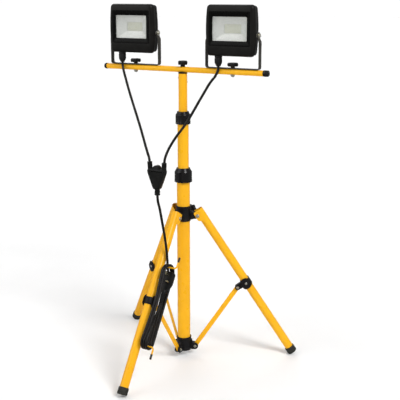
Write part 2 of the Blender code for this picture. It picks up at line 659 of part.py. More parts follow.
def plug(pivot):
    """A generic plug with three flat pins, held inside the hank."""
    high, low = -PLUG_SPAN[0], -PLUG_SPAN[1]
    back, face = (LEG_OFFSET + d for d in PLUG_DEPTH)
    half = 18 * MM
    middle = (back + face) / 2
    outline = arc((PLUG_X + half - 7 * MM, high - 7 * MM), 7 * MM, 0, 90, 4)
    outline += arc((PLUG_X - half + 7 * MM, high - 7 * MM), 7 * MM, 90, 180, 4)
    outline += [(PLUG_X - half, low + 16 * MM), (PLUG_X - 9 * MM, low), (PLUG_X + 9 * MM, low)]
    outline += [(PLUG_X + half, low + 16 * MM)]
    rings = [(back, 1.5 * MM), (back + 1.5 * MM, 0), (face - 1 * MM, 0), (face, 1 * MM)]
    centre_z = (low + high) / 2
    loops = []
    for x, inset in rings:
        shrink_y = 1 - inset / half
        shrink_z = 1 - inset / (high - centre_z)
        loops.append([(x, PLUG_X + (y - PLUG_X) * shrink_y, centre_z + (z - centre_z) * shrink_z)
                      for y, z in outline])
    made = piece("plug", lofted(loops), PVC, pivot)
    unite(made, rod((middle, PLUG_X, low + 3 * MM), (middle, PLUG_X, -RELIEF_END), 8 * MM, 16, 5.6 * MM))
    pin = 17 * MM
    earth = high - 9 * MM
    others = earth - 22 * MM
    unite(made, block((face - 2 * MM, PLUG_X - 2 * MM, earth - 4 * MM),
                      (face + pin, PLUG_X + 2 * MM, earth + 4 * MM)))
    for side in (-1, 1):
        y = PLUG_X + side * 11 * MM
        unite(made, block((face - 2 * MM, y - 3.2 * MM, others - 2 * MM),
                          (face + pin, y + 3.2 * MM, others + 2 * MM)))


def splitter(mid):
    """The moulded Y that joins both lamp leads to the main lead."""
    origin = SPLITTER
    outline = [(-9.5, 17), (9.5, 17), (28, 64), (29, 70), (19, 77)]
    outline = [(x * MM, z * MM) for x, z in outline]
    outline += [(x, z) for x, z in arc((0, 74 * MM), 12.5 * MM, 14, 166, 8)]
    outline += [(-19 * MM, 77 * MM), (-29 * MM, 70 * MM), (-28 * MM, 64 * MM)]
    half = SPLITTER_THICK / 2
    rings = []
    for y, inset in ((-half, 3 * MM), (-half + 3 * MM, 0), (half - 3 * MM, 0), (half, 3 * MM)):
        ring = []
        for x, z in outline:
            shrink = 1 - inset / (29 * MM)
            ring.append((x * shrink, y, 48 * MM + (z - 48 * MM) * shrink))
        rings.append(ring)
    made = piece("splitter", lofted(rings), PVC, empty("splitter_place", origin, mid))
    for side in (-1, 1):
        unite(made, rod((side * 21.5 * MM, 0, 60 * MM), (side * 23.9 * MM, 0, 93.5 * MM), 7.2 * MM, 16))
    unite(made, rod((0, 0, 0), (0, 0, 24 * MM), 8 * MM, 16))


clear_scene()
PAINT = finish("yellow_paint", (0.90, 0.44, 0.03), 0.32)
BLACK = finish("black_paint", (0.03, 0.028, 0.025), 0.4)
PLASTIC = finish("black_nylon", (0.025, 0.023, 0.023), 0.5)
GLOSS = finish("glossy_nylon", (0.02, 0.02, 0.02), 0.25)
HOUSING = finish("black_powder_coat", (0.008, 0.008, 0.007), 0.45)
RUBBER = finish("grey_rubber", (0.03, 0.03, 0.026), 0.7)
STEEL = finish("zinc_plated_steel", (0.62, 0.62, 0.6), 0.3, 1.0)
PVC = finish("black_pvc", (0.012, 0.011, 0.010), 0.4)
GLASS = finish("clear_glass", (0.9, 0.93, 0.93), 0.05)
CHROME = finish("bright_reflector", (0.78, 0.78, 0.77), 0.2, 0.9)
BOARD = finish("led_board", (0.68, 0.66, 0.5), 0.5)

mast()
MID = empty("mid_slide", (0, 0, 0))
TOP = empty("top_slide", (0, 0, 0), MID)
BAR = empty("bar_swivel", (0, 0, 0), TOP)
lock_collars(MID)
upper_tubes(MID, TOP)
crossbar(BAR)
centre_knob(BAR)
for lamp_name, lamp_side in (("left", -1), ("right", 1)):
    lamp(lamp_name, lamp_side, BAR)
SLIDE = empty("leg_collar_slide", (0, 0, 0))
leg_collar(SLIDE)
for leg_name, leg_azimuth in LEG_AZIMUTHS.items():
    LEG = leg(leg_name, leg_azimuth, SLIDE)
    brace(leg_name, leg_azimuth)
    if leg_name == "front":
        for hook_name, (hook_drop, hook_way) in HOOK_DROPS.items():
            hook(f"{hook_name}_hook", hook_drop, hook_way, LEG)
        hank(LEG)
        plug(LEG)
splitter(MID)
cord("lead_left", LEAD_LEFT)
cord("lead_right", LEAD_RIGHT)
cord("main_lead", LEAD_MAIN)
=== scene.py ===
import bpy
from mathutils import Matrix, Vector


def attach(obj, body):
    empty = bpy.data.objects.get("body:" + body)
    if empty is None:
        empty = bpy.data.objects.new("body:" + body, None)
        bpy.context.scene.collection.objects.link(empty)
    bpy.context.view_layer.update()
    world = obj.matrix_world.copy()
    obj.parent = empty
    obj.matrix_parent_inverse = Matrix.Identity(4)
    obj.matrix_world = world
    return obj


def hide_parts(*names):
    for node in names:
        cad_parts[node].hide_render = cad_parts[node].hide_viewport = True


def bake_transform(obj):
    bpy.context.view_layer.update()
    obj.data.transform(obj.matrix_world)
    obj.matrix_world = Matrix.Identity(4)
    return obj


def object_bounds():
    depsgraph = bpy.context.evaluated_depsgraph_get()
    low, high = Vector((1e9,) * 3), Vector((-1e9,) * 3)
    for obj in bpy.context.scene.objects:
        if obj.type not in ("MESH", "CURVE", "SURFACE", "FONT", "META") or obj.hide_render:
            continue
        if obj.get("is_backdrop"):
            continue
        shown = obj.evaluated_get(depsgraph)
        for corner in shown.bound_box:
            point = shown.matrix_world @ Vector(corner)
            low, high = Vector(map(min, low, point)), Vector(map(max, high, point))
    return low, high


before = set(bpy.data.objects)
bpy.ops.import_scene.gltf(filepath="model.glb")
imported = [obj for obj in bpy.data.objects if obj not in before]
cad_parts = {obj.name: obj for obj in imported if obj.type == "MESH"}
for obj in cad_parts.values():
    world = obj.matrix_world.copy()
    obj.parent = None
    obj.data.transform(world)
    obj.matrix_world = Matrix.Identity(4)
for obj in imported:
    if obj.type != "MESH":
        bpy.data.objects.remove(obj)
cadLow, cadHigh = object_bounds()
print("frame loaded")

import math

import bmesh
import bpy
from mathutils import Matrix, Vector

mm = 0.001
same = Matrix.Identity(4)
upright = Matrix(((1, 0, 0, 0), (0, 0, 1, 0), (0, 1, 0, 0), (0, 0, 0, 1)))
sideways = Matrix(((0, 0, 1, 0), (1, 0, 0, 0), (0, 1, 0, 0), (0, 0, 0, 1)))


def hexColour(code):
    channels = [int(code[i : i + 2], 16) / 255 for i in (0, 2, 4)]
    return tuple(c / 12.92 if c <= 0.04045 else ((c + 0.055) / 1.055) ** 2.4 for c in channels) + (1.0,)


def addNode(tree, kind, inputs=None, **settings):
    node = tree.nodes.new(kind)
    for key, value in settings.items():
        setattr(node, key, value)
    for key, value in (inputs or {}).items():
        if isinstance(value, bpy.types.NodeSocket):
            tree.links.new(value, node.inputs[key])
        else:
            node.inputs[key].default_value = value
    return node


# A look holds two tones and the size of their patches, the least and most roughness, layers of grain as
# (size, depth), and sometimes flecks as (size, colour, amount). Sizes are millimetres.
def surface(name, look):
    material = bpy.data.materials.new(name)
    material.use_nodes = True
    tree = material.node_tree
    shader = tree.nodes["Principled BSDF"]
    place = addNode(tree, "ShaderNodeTexCoord").outputs["Object"]

    def noise(size, detail, low, high, start, end):
        spots = addNode(tree, "ShaderNodeTexNoise", {"Vector": place, "Scale": 1 / (size * mm), "Detail": detail})
        return addNode(tree, "ShaderNodeMapRange", {
            "Value": spots.outputs[0], "From Min": low, "From Max": high, "To Min": start, "To Max": end}).outputs[0]

    tone = noise(look["patch"], 4.0, 0.35, 0.65, 0.0, 1.0)
    colour = addNode(tree, "ShaderNodeMix", {
        0: tone, 6: hexColour(look["colour"]), 7: hexColour(look["shade"])}, data_type="RGBA").outputs[2]
    if "flecks" in look:
        size, code, amount = look["flecks"]
        flecks = noise(size, 2.0, 0.66, 0.72, 0.0, amount)
        colour = addNode(tree, "ShaderNodeMix", {0: flecks, 6: colour, 7: hexColour(code)},
                         data_type="RGBA").outputs[2]
    tree.links.new(colour, shader.inputs["Base Color"])
    low, high = look["rough"]
    tree.links.new(noise(look["patch"] * 0.23, 3.0, 0.3, 0.7, low, high), shader.inputs["Roughness"])
    bump = None
    for size, depth in look["grain"]:
        height = noise(size, 2.0, 0.25, 0.75, 0.0, 1.0)
        inputs = {"Height": height, "Distance": depth * mm, "Strength": 1.0}
        if bump:
            inputs["Normal"] = bump
        bump = addNode(tree, "ShaderNodeBump", inputs).outputs[0]
    tree.links.new(bump, shader.inputs["Normal"])
    for key, value in look.get("also", {}).items():
        shader.inputs[key].default_value = value
    return material


# Electrostatic powder paint, baked on steel tube: a fine orange peel.
yellowPaint = surface("yellow powder paint", {
    "colour": "F0B11B", "shade": "EAA919", "patch": 90, "rough": (0.26, 0.34), "grain": [(1.2, 0.006), (0.4, 0.002)],
    "flecks": (1.1, "E3A31A", 0.25), "also": {"Specular IOR Level": 0.22}})
# The same process in satin black on pressed steel strip.
blackPaint = surface("satin black powder paint", {
    "colour": "2E2C28", "shade": "383631", "patch": 22, "rough": (0.34, 0.5), "grain": [(1.1, 0.02), (0.35, 0.006)],
    "flecks": (1.3, "55524B", 0.4), "also": {"Specular IOR Level": 0.25}})
# Glass-filled nylon from a spark-eroded mould.
blackNylon = surface("moulded black nylon", {
    "colour": "100F10", "shade": "171617", "patch": 14, "rough": (0.38, 0.52), "grain": [(0.55, 0.012), (2.4, 0.008)],
    "flecks": (0.9, "343233", 0.3), "also": {"Specular IOR Level": 0.2}})
# Unfilled nylon from a polished mould.
glossNylon = surface("polished black nylon", {
    "colour": "0B0A0A", "shade": "100F0F", "patch": 18, "rough": (0.16, 0.26), "grain": [(2.4, 0.006), (0.7, 0.002)],
    "flecks": (0.8, "1C1C1C", 0.3), "also": {"Specular IOR Level": 0.3}})
# Die-cast aluminium under a wrinkle-finish powder coat.
housingCoat = surface("wrinkle black powder coat", {
    "colour": "0A0907", "shade": "11100D", "patch": 17, "rough": (0.36, 0.5), "grain": [(0.8, 0.02), (0.3, 0.006)],
    "flecks": (0.8, "262522", 0.3), "also": {"Specular IOR Level": 0.2}})
# The printed border of the front, a smoother black than the casting round it.
borderCoat = surface("printed black border", {
    "colour": "030302", "shade": "060605", "patch": 20, "rough": (0.2, 0.32), "grain": [(1.5, 0.004), (0.4, 0.002)],
    "also": {"Specular IOR Level": 0.1}})
# Compression-moulded rubber, slightly chalky.
greyRubber = surface("grey rubber", {
    "colour": "262622", "shade": "302F2B", "patch": 9, "rough": (0.6, 0.8), "grain": [(0.7, 0.03), (2.8, 0.02)],
    "flecks": (0.8, "55534D", 0.4), "also": {"Specular IOR Level": 0.25}})
# Cold-headed steel, zinc plated and passivated.
zincPlate = surface("zinc plated steel", {
    "colour": "D4D5D2", "shade": "B9B39C", "patch": 4, "rough": (0.2, 0.4), "grain": [(0.5, 0.01), (1.6, 0.01)],
    "flecks": (0.7, "8E8D88", 0.6), "also": {"Metallic": 1.0}})
# Turned brass with a nickel flash.
brassPin = surface("nickel plated brass", {
    "colour": "D9CFAE", "shade": "C9BC93", "patch": 3, "rough": (0.18, 0.32), "grain": [(0.4, 0.008), (1.2, 0.006)],
    "also": {"Metallic": 1.0}})
# Extruded PVC sheath with faint drawing lines.
blackSheath = surface("black PVC sheath", {
    "colour": "0F0D0C", "shade": "161412", "patch": 11, "rough": (0.3, 0.44), "grain": [(0.9, 0.01), (4.5, 0.02)],
    "flecks": (0.9, "2C2A28", 0.35), "also": {"Specular IOR Level": 0.25}})
# Moulded PVC, a little greyer than the sheath.
mouldedPlastic = surface("moulded black PVC", {
    "colour": "0C0C0B", "shade": "131312", "patch": 13, "rough": (0.38, 0.5), "grain": [(0.6, 0.012), (2.2, 0.01)],
    "flecks": (0.8, "30302E", 0.3), "also": {"Specular IOR Level": 0.2}})
# Toughened float glass.
clearGlass = surface("clear glass", {
    "colour": "F2F6F4", "shade": "EAF0EE", "patch": 30, "rough": (0.02, 0.07), "grain": [(18, 0.004), (3, 0.0004)],
    "also": {"Alpha": 0.14}})
# Vacuum-metallised and lacquered plastic tray.
brightTray = surface("bright reflector", {
    "colour": "DADAD5", "shade": "D2D2CD", "patch": 12, "rough": (0.3, 0.42), "grain": [(2.6, 0.002), (0.6, 0.0006)],
    "also": {"Metallic": 0.25}})
# White solder resist over aluminium.
whiteBoard = surface("white solder resist", {
    "colour": "C4C4BA", "shade": "BCBCB1", "patch": 6, "rough": (0.4, 0.55), "grain": [(0.6, 0.004), (0.2, 0.001)]})
# Silicone loaded with phosphor over each emitter.
phosphor = surface("phosphor silicone", {
    "colour": "C4C3A4", "shade": "BFBE9B", "patch": 2, "rough": (0.4, 0.55), "grain": [(0.5, 0.012), (0.2, 0.004)]})
# Dipped vinyl cap on a wire end.
dippedVinyl = surface("dipped black vinyl", {
    "colour": "1B1A1A", "shade": "262525", "patch": 6, "rough": (0.34, 0.5), "grain": [(1.1, 0.03), (0.4, 0.008)],
    "also": {"Specular IOR Level": 0.3}})
print("materials made")


def fillet(points, radius, steps=3, closed=False):
    made = []
    for i, point in enumerate(points):
        here = Vector(point[:2])
        reach = point[2] if len(point) > 2 else radius
        if reach <= 0 or not closed and i in (0, len(points) - 1):
            made.append(here)
            continue
        before = Vector(points[i - 1][:2]) - here
        after = Vector(points[(i + 1) % len(points)][:2]) - here
        reach = min(reach, before.length * 0.48, after.length * 0.48)
        start, end = here + before.normalized() * reach, here + after.normalized() * reach
        for k in range(steps + 1):
            t = k / steps
            made.append(start * (1 - t) ** 2 + here * (2 * t * (1 - t)) + end * t * t)
    return made


def arc(centre, radius, start, end, steps):
    turns = [math.radians(start + (end - start) * k / steps) for k in range(steps + 1)]
    return [Vector((centre[0] + radius * math.cos(a), centre[1] + radius * math.sin(a))) for a in turns]


def inset(outline, depth):
    area = sum(a.x * b.y - b.x * a.y for a, b in zip(outline, outline[1:] + outline[:1]))
    hand = 1 if area > 0 else -1
    made = []
    for i, here in enumerate(outline):
        before = (here - outline[i - 1]).normalized()
        after = (outline[(i + 1) % len(outline)] - here).normalized()
        across = Vector((-before.y - after.y, before.x + after.x)) * hand
        across.normalize()
        lean = max(0.4, across.dot(Vector((-after.y, after.x)) * hand))
        made.append(here + across * (depth / lean))
    return made


def addLoft(bm, rings, matrix=same, slot=0, looped=False):
    made = []
    for ring in rings:
        spots = [matrix @ Vector(p) for p in ring]
        if max((s - spots[0]).length for s in spots) < 1e-7:
            made.append([bm.verts.new(spots[0])] * len(spots))
        else:
            made.append([bm.verts.new(s) for s in spots])
    pairs = list(zip(made, made[1:]))
    faces = []
    if looped:
        pairs.append((made[-1], made[0]))
    else:
        faces = [bm.faces.new(ring) for ring in (made[0], made[-1]) if ring[0] is not ring[1]]
    for lower, upper in pairs:
        for i in range(len(lower)):
            j = (i + 1) % len(lower)
            corners = list(dict.fromkeys((lower[i], lower[j], upper[j], upper[i])))
            if len(corners) > 2:
                faces.append(bm.faces.new(corners))
    for face in faces:
        face.material_index = slot


def addTurned(bm, sections, sides=48, lobes=6, matrix=same, slot=0, looped=False, scale=mm, power=1.0):
    rings = []
    for radius, height, *dent in sections:
        depth = dent[0] if dent else 0
        ring = []
        for k in range(sides):
            a = 2 * math.pi * k / sides
            reach = (radius - depth * (0.5 - 0.5 * math.cos(lobes * a)) ** power) * scale
            ring.append((reach * math.cos(a), reach * math.sin(a), height * scale))
        rings.append(ring)
    addLoft(bm, rings, matrix, slot, looped)


def addTube(bm, radius, wall, low, high, matrix=same, slot=0, sides=72):
    wallLine = [(radius, low), (radius, high), (radius - wall, high), (radius - wall, low)]
    addTurned(bm, fillet(wallLine, wall * 0.45, 3, True), sides, matrix=matrix, slot=slot, looped=True)


def addPrism(bm, outline, low, high, edge, matrix=same, slot=0):
    steps = [(edge, low), (edge * 0.3, low + edge * 0.3), (0, low + edge)]
    steps += [(0, high - edge), (edge * 0.3, high - edge * 0.3), (edge, high)]
    rings = []
    for depth, height in steps:
        shape = inset(outline, depth) if depth else outline
        rings.append([(p.x * mm, p.y * mm, height * mm) for p in shape])
    addLoft(bm, rings, matrix, slot)


def addSweep(bm, path, radius, sides=16, matrix=same):
    turns = [2 * math.pi * k / sides for k in range(sides)]
    rings, side = [], None
    for i, here in enumerate(path):
        way = (path[min(i + 1, len(path) - 1)] - path[max(i - 1, 0)]).normalized()
        side = way.orthogonal() if side is None else side - way * side.dot(way)
        side.normalize()
        across = way.cross(side)
        rings.append([here + (side * math.cos(a) + across * math.sin(a)) * radius for a in turns])
    addLoft(bm, rings, matrix)


def addFastener(bm, look, matrix=same, slot=0):
    # A washer, a head and a socket, from the seat up; "flats" 6 gives a hexagon head, 0 a round one.
    radius, high, seat = look["radius"], look["high"], look.get("washer", 0)
    if seat:
        addTurned(bm, [(0, 0), (seat - 0.2, 0), (seat, 0.2), (seat, 0.7), (seat - 0.2, 0.9), (0, 0.9)], 32,
                  matrix=matrix, slot=slot)
    foot = 0.85 if seat else 0.0
    if look.get("flats"):
        head = [(0, foot), (radius - 0.3, foot), (radius, foot + 0.3), (radius, high - 0.5), (radius - 0.5, high),
                (0, high)]
        addTurned(bm, head, 6, matrix=matrix, slot=slot)
        addTurned(bm, [(radius * 0.5, high - 0.3), (radius * 0.5, high + 0.7), (radius * 0.4, high + 1.1),
                       (0, high + 1.1)], 20, matrix=matrix, slot=slot)
        return
    dome = [(0, foot), (radius - 0.2, foot), (radius, foot + 0.3), (radius * 0.97, foot + 0.45 * (high - foot)),
            (radius * 0.8, foot + 0.85 * (high - foot)), (radius * 0.55, high), (radius * 0.5, high, 0.25 * radius),
            (radius * 0.45, high - 0.35 * (high - foot), 0.22 * radius), (0, high - 0.4 * (high - foot))]
    addTurned(bm, dome, 48, 4, matrix=matrix, slot=slot)


def turnTo(place, way):
    return Matrix.Translation(place) @ Vector(way).to_track_quat("Z", "Y").to_matrix().to_4x4()


def smoothRoute(points, spacing):
    points = [Vector(p) for p in points]
    ends = [points[0] * 2 - points[1], *points, points[-1] * 2 - points[-2]]
    made = [points[0]]
    for i in range(1, len(ends) - 2):
        a, b, c, d = ends[i - 1 : i + 3]
        count = max(2, round((c - b).length / spacing))
        for k in range(1, count + 1):
            t = k / count
            made.append(0.5 * (2 * b + (c - a) * t + (2 * a - 5 * b + 4 * c - d) * t * t
                + (3 * b - a - 3 * c + d) * t ** 3))
    return made


def routeLength(path):
    return sum((b - a).length for a, b in zip(path, path[1:]))


def piece(name, bm, materials, slotName, body, *stands, sharp=36):
    bmesh.ops.remove_doubles(bm, verts=bm.verts, dist=1e-6)
    bmesh.ops.recalc_face_normals(bm, faces=bm.faces)
    for face in bm.faces:
        face.smooth = True
    for edge in bm.edges:
        edge.smooth = len(edge.link_faces) == 2 and edge.calc_face_angle(0) < math.radians(sharp)
    words = name.split()
    name = words[0].lower() + "".join(word.capitalize() for word in words[1:])
    mesh = bpy.data.meshes.new(name)
    bm.to_mesh(mesh)
    bm.free()
    for material in materials:
        mesh.materials.append(material)
    made = bpy.data.objects.new(name, mesh)
    bpy.context.scene.collection.objects.link(made)
    if body:
        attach(made, body)
    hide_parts(*stands)
    return made


# The mast: three round tubes that slide in each other. Sizes in these dictionaries are millimetres.
tubes = {
    "Main tube": {"node": "main_tube", "body": "mast", "radius": 19, "wall": 1.5, "span": (23.8, 561.5)},
    "Middle tube": {"node": "mid_tube", "body": "mid", "radius": 16, "wall": 1.2, "span": (210, 728)},
    "Top tube": {"node": "top_tube", "body": "top", "radius": 12.5, "wall": 1.2, "span": (353, 853),
                 "screws": ((841, 215), (829, 35), (835, 125))},
}
for name, tube in tubes.items():
    bm = bmesh.new()
    addTube(bm, tube["radius"], tube["wall"], *tube["span"])
    for height, turn in tube.get("screws", ()):
        way = Vector((math.cos(math.radians(turn)), math.sin(math.radians(turn)), 0))
        seat = way * (tube["radius"] - 0.3) * mm + Vector((0, 0, height * mm))
        addFastener(bm, {"radius": 2.4, "high": 1.5}, turnTo(seat, way), 1)
    piece(name, bm, [yellowPaint, zincPlate], "yellow_paint", tube["body"], tube["node"])

sleeves = {
    "Lower lock sleeve": {"node": "lower_lock_sleeve", "body": "mast", "outer": 22, "inner": 19.1,
                          "span": (545, 569)},
    "Upper lock sleeve": {"node": "upper_lock_sleeve", "body": "mid", "outer": 18.85, "inner": 16.1,
                          "span": (713, 735)},
}
for name, sleeve in sleeves.items():
    low, high = sleeve["span"]
    outer, inner = sleeve["outer"], sleeve["inner"]
    bm = bmesh.new()
    threads = [(inner, low), (outer - 0.6, low)]
    turns = 6
    step = (high - low - 2) / turns
    for k in range(turns):
        start = low + 1 + (high - low - 2) * k / turns
        threads += [(outer - 0.7, start), (outer, start + step * 0.35), (outer, start + step * 0.55),
                    (outer - 0.7, start + step * 0.9)]
    threads += [(outer - 0.6, high), (inner, high)]
    addTurned(bm, threads, 64, looped=True)
    piece(name, bm, [blackNylon], "black_nylon", sleeve["body"], sleeve["node"])

lockCollars = {
    "Lower lock collar": {
        "node": "lower_lock_collar", "body": "lower_lock", "lobes": 16, "sides": 128,
        "sections": [(22.4, 541.3), (23.2, 541), (25.3, 541), (25.75, 541.5), (25.75, 543.4, 0.1), (25.7, 545.2, 0.9),
                     (25.7, 567.5, 0.9), (25.5, 569.8, 0.35), (25.1, 571.2), (24.2, 572.8), (21.6, 576.6),
                     (20.7, 577.9), (20.1, 578.9), (19.8, 580.9), (19.1, 582), (17, 582), (16.4, 581.2),
                     (16.4, 575.5), (17.2, 574), (22.4, 570.4)]},
    "Upper lock collar": {
        "node": "upper_lock_collar", "body": "upper_lock", "lobes": 20, "sides": 160,
        "sections": [(19.25, 710.3), (19.9, 710), (21.1, 710), (21.5, 710.5), (21.5, 712, 0.1), (21.45, 713.4, 1.0),
                     (21.4, 733, 1.0), (21.2, 735.4, 0.5), (20.8, 737.2), (19.9, 738.6), (18.3, 740.4), (17.6, 741.4),
                     (17.3, 742.4), (17.1, 745.1), (16.4, 746), (13.6, 746), (12.9, 745.3), (12.9, 741),
                     (13.8, 739.5), (19.25, 736.2)]},
}
for name, collar in lockCollars.items():
    bm = bmesh.new()
    addTurned(bm, collar["sections"], collar["sides"], collar["lobes"], looped=True, power=0.7)
    piece(name, bm, [glossNylon], "glossy_nylon", collar["body"], collar["node"])

bm = bmesh.new()
addTurned(bm, [(0, 828), (10.2, 828), (10.9, 829), (10.9, 836, 0.3), (10.9, 853.3, 0.3), (12.7, 853.3), (13, 853.7),
               (13, 855.5), (12.5, 856.1), (9, 856.2), (8.6, 856.3), (0, 856.3)], 64, 12)
piece("Top plug", bm, [blackNylon], "black_nylon", "top", "top_plug")
print("mast made")


# The crossbar with its end caps, and the screws that clamp it and the lamps.
bar = {"radius": 8, "wall": 1.5, "height": 864.4, "half": 259.4, "lamps": {"left": -159, "right": 159}}
barMatrix = Matrix.Translation((0, 0, bar["height"] * mm)) @ Matrix.Rotation(math.pi / 2, 4, "Y")
bm = bmesh.new()
addTube(bm, bar["radius"], bar["wall"], -bar["half"], bar["half"], barMatrix)
piece("Crossbar", bm, [yellowPaint], "yellow_paint", "bar", "crossbar")
for side, way, skirt in (("left", -1, 0.6), ("right", 1, 6.5)):
    bm = bmesh.new()
    lay = turnTo((way * bar["half"] * mm, 0, bar["height"] * mm), (way, 0, 0))
    addTurned(bm, [(0, -14), (5.6, -14), (6.3, -13), (6.3, 0.2), (8.05, 0.2), (8.05, -skirt), (8.35, -skirt - 0.2),
                   (8.6, -skirt + 0.3), (8.6, 2.2), (8.5, 2.6, 0.35), (8.5, 5.6, 0.35), (8.3, 6.2), (7.7, 7.5),
                   (6.6, 7.95), (5.4, 8), (5.1, 7.5), (2, 7.4), (0, 7.4)], 72, 18, lay)
    piece(f"{side.capitalize()} bar cap", bm, [glossNylon], "black_nylon", "bar", f"bar_cap_{side}")

knobLooks = {
    "centre": {"radius": 14.6, "hub": 6.6, "foot": 872.5, "span": (877.3, 888.8), "stud": (832, 884)},
    "lamp": {"radius": 16.2, "hub": 5.8, "foot": 875.5, "span": (879, 889.2), "stud": None},
    "collar": {"radius": 15.6, "hub": 6.8, "foot": 36.8, "span": (40.5, 54), "stud": (19.4, 47)},
}


def addKnob(bm, look, matrix=same):
    radius, hub, foot = look["radius"], look["hub"], look["foot"]
    low, high = look["span"]
    rise = high - low
    addTurned(bm, [
        (0, foot), (hub, foot), (hub + 0.3, foot + 0.3), (hub + 0.2, foot + 1), (hub - 0.4, low - 0.7),
        (hub + 1, low + 0.1), (0.62 * radius, low + 0.15), (0.86 * radius, low + 0.04 * rise, 0.12 * radius),
        (0.96 * radius, low + 0.14 * rise, 0.19 * radius), (radius, low + 0.32 * rise, 0.21 * radius),
        (radius, low + 0.66 * rise, 0.21 * radius), (0.965 * radius, low + 0.84 * rise, 0.19 * radius),
        (0.88 * radius, low + 0.95 * rise, 0.14 * radius), (0.72 * radius, high, 0.06 * radius),
        (0.5 * radius, high - 0.05), (0.46 * radius, high - 0.5), (0.42 * radius, high - 1.1),
        (0.2 * radius, high - 1.2), (0, high - 1.2)], 96, 6, matrix)
    if look["stud"]:
        low, high = look["stud"]
        addTurned(bm, [(0, low), (2.4, low), (3, low + 0.8), (3, high), (0, high)], 24, matrix=matrix, slot=1)


bm = bmesh.new()
addKnob(bm, knobLooks["centre"])
piece("Centre knob", bm, [blackNylon, zincPlate], "black_nylon", "centre_knob", "centre_knob")
for side, x in bar["lamps"].items():
    shift = Matrix.Translation((x * mm, 0, 0))
    bm = bmesh.new()
    addTurned(bm, [(0, 850.1), (1.6, 850.2), (3.6, 850.9), (5.0, 852.2), (5.8, 853.9), (6, 855.4), (6, 857.5),
                   (3, 857.5), (3, 883.4), (2.4, 884.4), (0, 884.4)], 40, matrix=shift)
    piece(f"{side.capitalize()} lamp bolt", bm, [zincPlate], "zinc_plated_steel", "bar", f"lamp_bolt_{side}")
    bm = bmesh.new()
    addKnob(bm, knobLooks["lamp"], shift)
    piece(f"{side.capitalize()} lamp knob", bm, [blackNylon], "black_nylon", f"lamp_knob_{side}", f"lamp_knob_{side}")

# The U bracket under each lamp: one strip, bent up at both ends and joggled in at the top.
strap = {"half": 7.0, "thick": 2.5, "corners": [(-77, 972, 0), (-77, 955.5, 4), (-81.5, 947.5, 4),
                                               (-81.5, 873.95, 6.2), (81.5, 873.95, 6.2), (81.5, 947.5, 4),
                                               (77, 955.5, 4), (77, 972, 0)]}


def addRibbon(bm, line, half, thick, matrix):
    # A flat strip along a line, its ends rounded to half its width.
    whole = routeLength(line)
    marks = [0, 0.12, 0.5, 1.2, 2.2, 3.6, 5.2, half]
    marks = sorted({*marks, *(whole - m for m in marks)})
    points, run = [(0.0, line[0])], 0.0
    for a, b in zip(line, line[1:]):
        long = (b - a).length
        points += [(m, a.lerp(b, (m - run) / long)) for m in marks if run + 1e-4 < m < run + long - 1e-4]
        run += long
        points.append((run, b))
    rings = []
    for i, (mark, here) in enumerate(points):
        way = (points[min(i + 1, len(points) - 1)][1] - points[max(i - 1, 0)][1]).normalized()
        out = Vector((-way.y, way.x))
        near = min(mark, whole - mark)
        wide = half if near >= half else max(0.4, half * math.sqrt(1 - (1 - near / half) ** 2))
        section = [(-wide, -thick / 2), (wide, -thick / 2), (wide, thick / 2), (-wide, thick / 2)]
        section = fillet(section, min(0.5, wide * 0.4), 2, True)
        rings.append([((here.x + out.x * p.y) * mm, (here.y + out.y * p.y) * mm, p.x * mm) for p in section])
    addLoft(bm, rings, matrix)


for side, x in bar["lamps"].items():
    bm = bmesh.new()
    shift = Matrix.Translation((x * mm, 0, 0))
    addRibbon(bm, fillet(strap["corners"], 5, 6), strap["half"], strap["thick"], shift @ upright)
    addTurned(bm, [(0, 875.15), (8.6, 875.15), (8.8, 875.3), (8.8, 875.45), (0, 875.45)], 40, matrix=shift, slot=1)
    piece(f"{side.capitalize()} bracket", bm, [blackPaint, zincPlate], "black_paint", f"bracket_{side}",
          f"bracket_{side}")
print("crossbar made")


# The lamp heads, drawn about their tilt axis.
head = {
    "tilt": 963.5, "half": 70.8, "low": -56.5, "high": 80.5, "corner": 9, "swell": 4.2,
    "bezel": [(-6.5, 1.2), (-7.2, 0.7), (-9.5, 0.2), (-12, 0), (-15.5, 0.15), (-17.5, 0.6), (-19.6, 1.5),
              (-21.4, 2.8), (-22.6, 4.2), (-23.5, 5.9), (-24, 7.8)],
    "border": (63, -29.5, 62.5, 4), "window": (52.5, -15.5, 48.5, 2.2),
    "rear": [(-6.2, 2.6), (-5.4, 2.4), (4, 2.6), (7.5, 3.0), (10.5, 4.0), (12.2, 5.4), (13, 7.2)],
    "pocket": (60.5, -44.5, 68.5, 3), "fins": 12, "pitch": 9.6,
    "screws": [(x, z) for z in (-47.4, 71.4) for x in (-56, 56)],
    "chips": {"columns": 12, "rows": 6, "across": 4.1, "up": 3.9},
}
windowMiddle = (head["window"][1] + head["window"][2]) / 2


def panelOutline(half, low, high, corner, swell=0.0, sides=12, tops=10, turns=6):
    middle, tall = (low + high) / 2, (high - low) / 2
    centres = [(half - corner, high - corner), (corner - half, high - corner), (corner - half, low + corner),
               (half - corner, low + corner)]
    arcs = [arc(centre, corner, 90 * q, 90 * q + 90, turns) for q, centre in enumerate(centres)]
    points = []
    for q in range(4):
        start, end = arcs[q][-1], arcs[(q + 1) % 4][0]
        count = sides if q % 2 else tops
        points += arcs[q] + [start.lerp(end, k / count) for k in range(1, count)]
    for p in points:
        p.x += swell * (1 - ((p.y - middle) / tall) ** 2) * p.x / half
    return points


def headOutline(depth):
    corner = max(3.0, head["corner"] - 0.6 * depth)
    return panelOutline(head["half"] - depth, head["low"] + depth, head["high"] - depth, corner, head["swell"])


def addPanel(bm, sections, matrix, looped=False):
    rings = [[(p.x * mm, p.y * mm, y * mm) for p in outline] for outline, y in sections]
    addLoft(bm, rings, matrix, looped=looped)


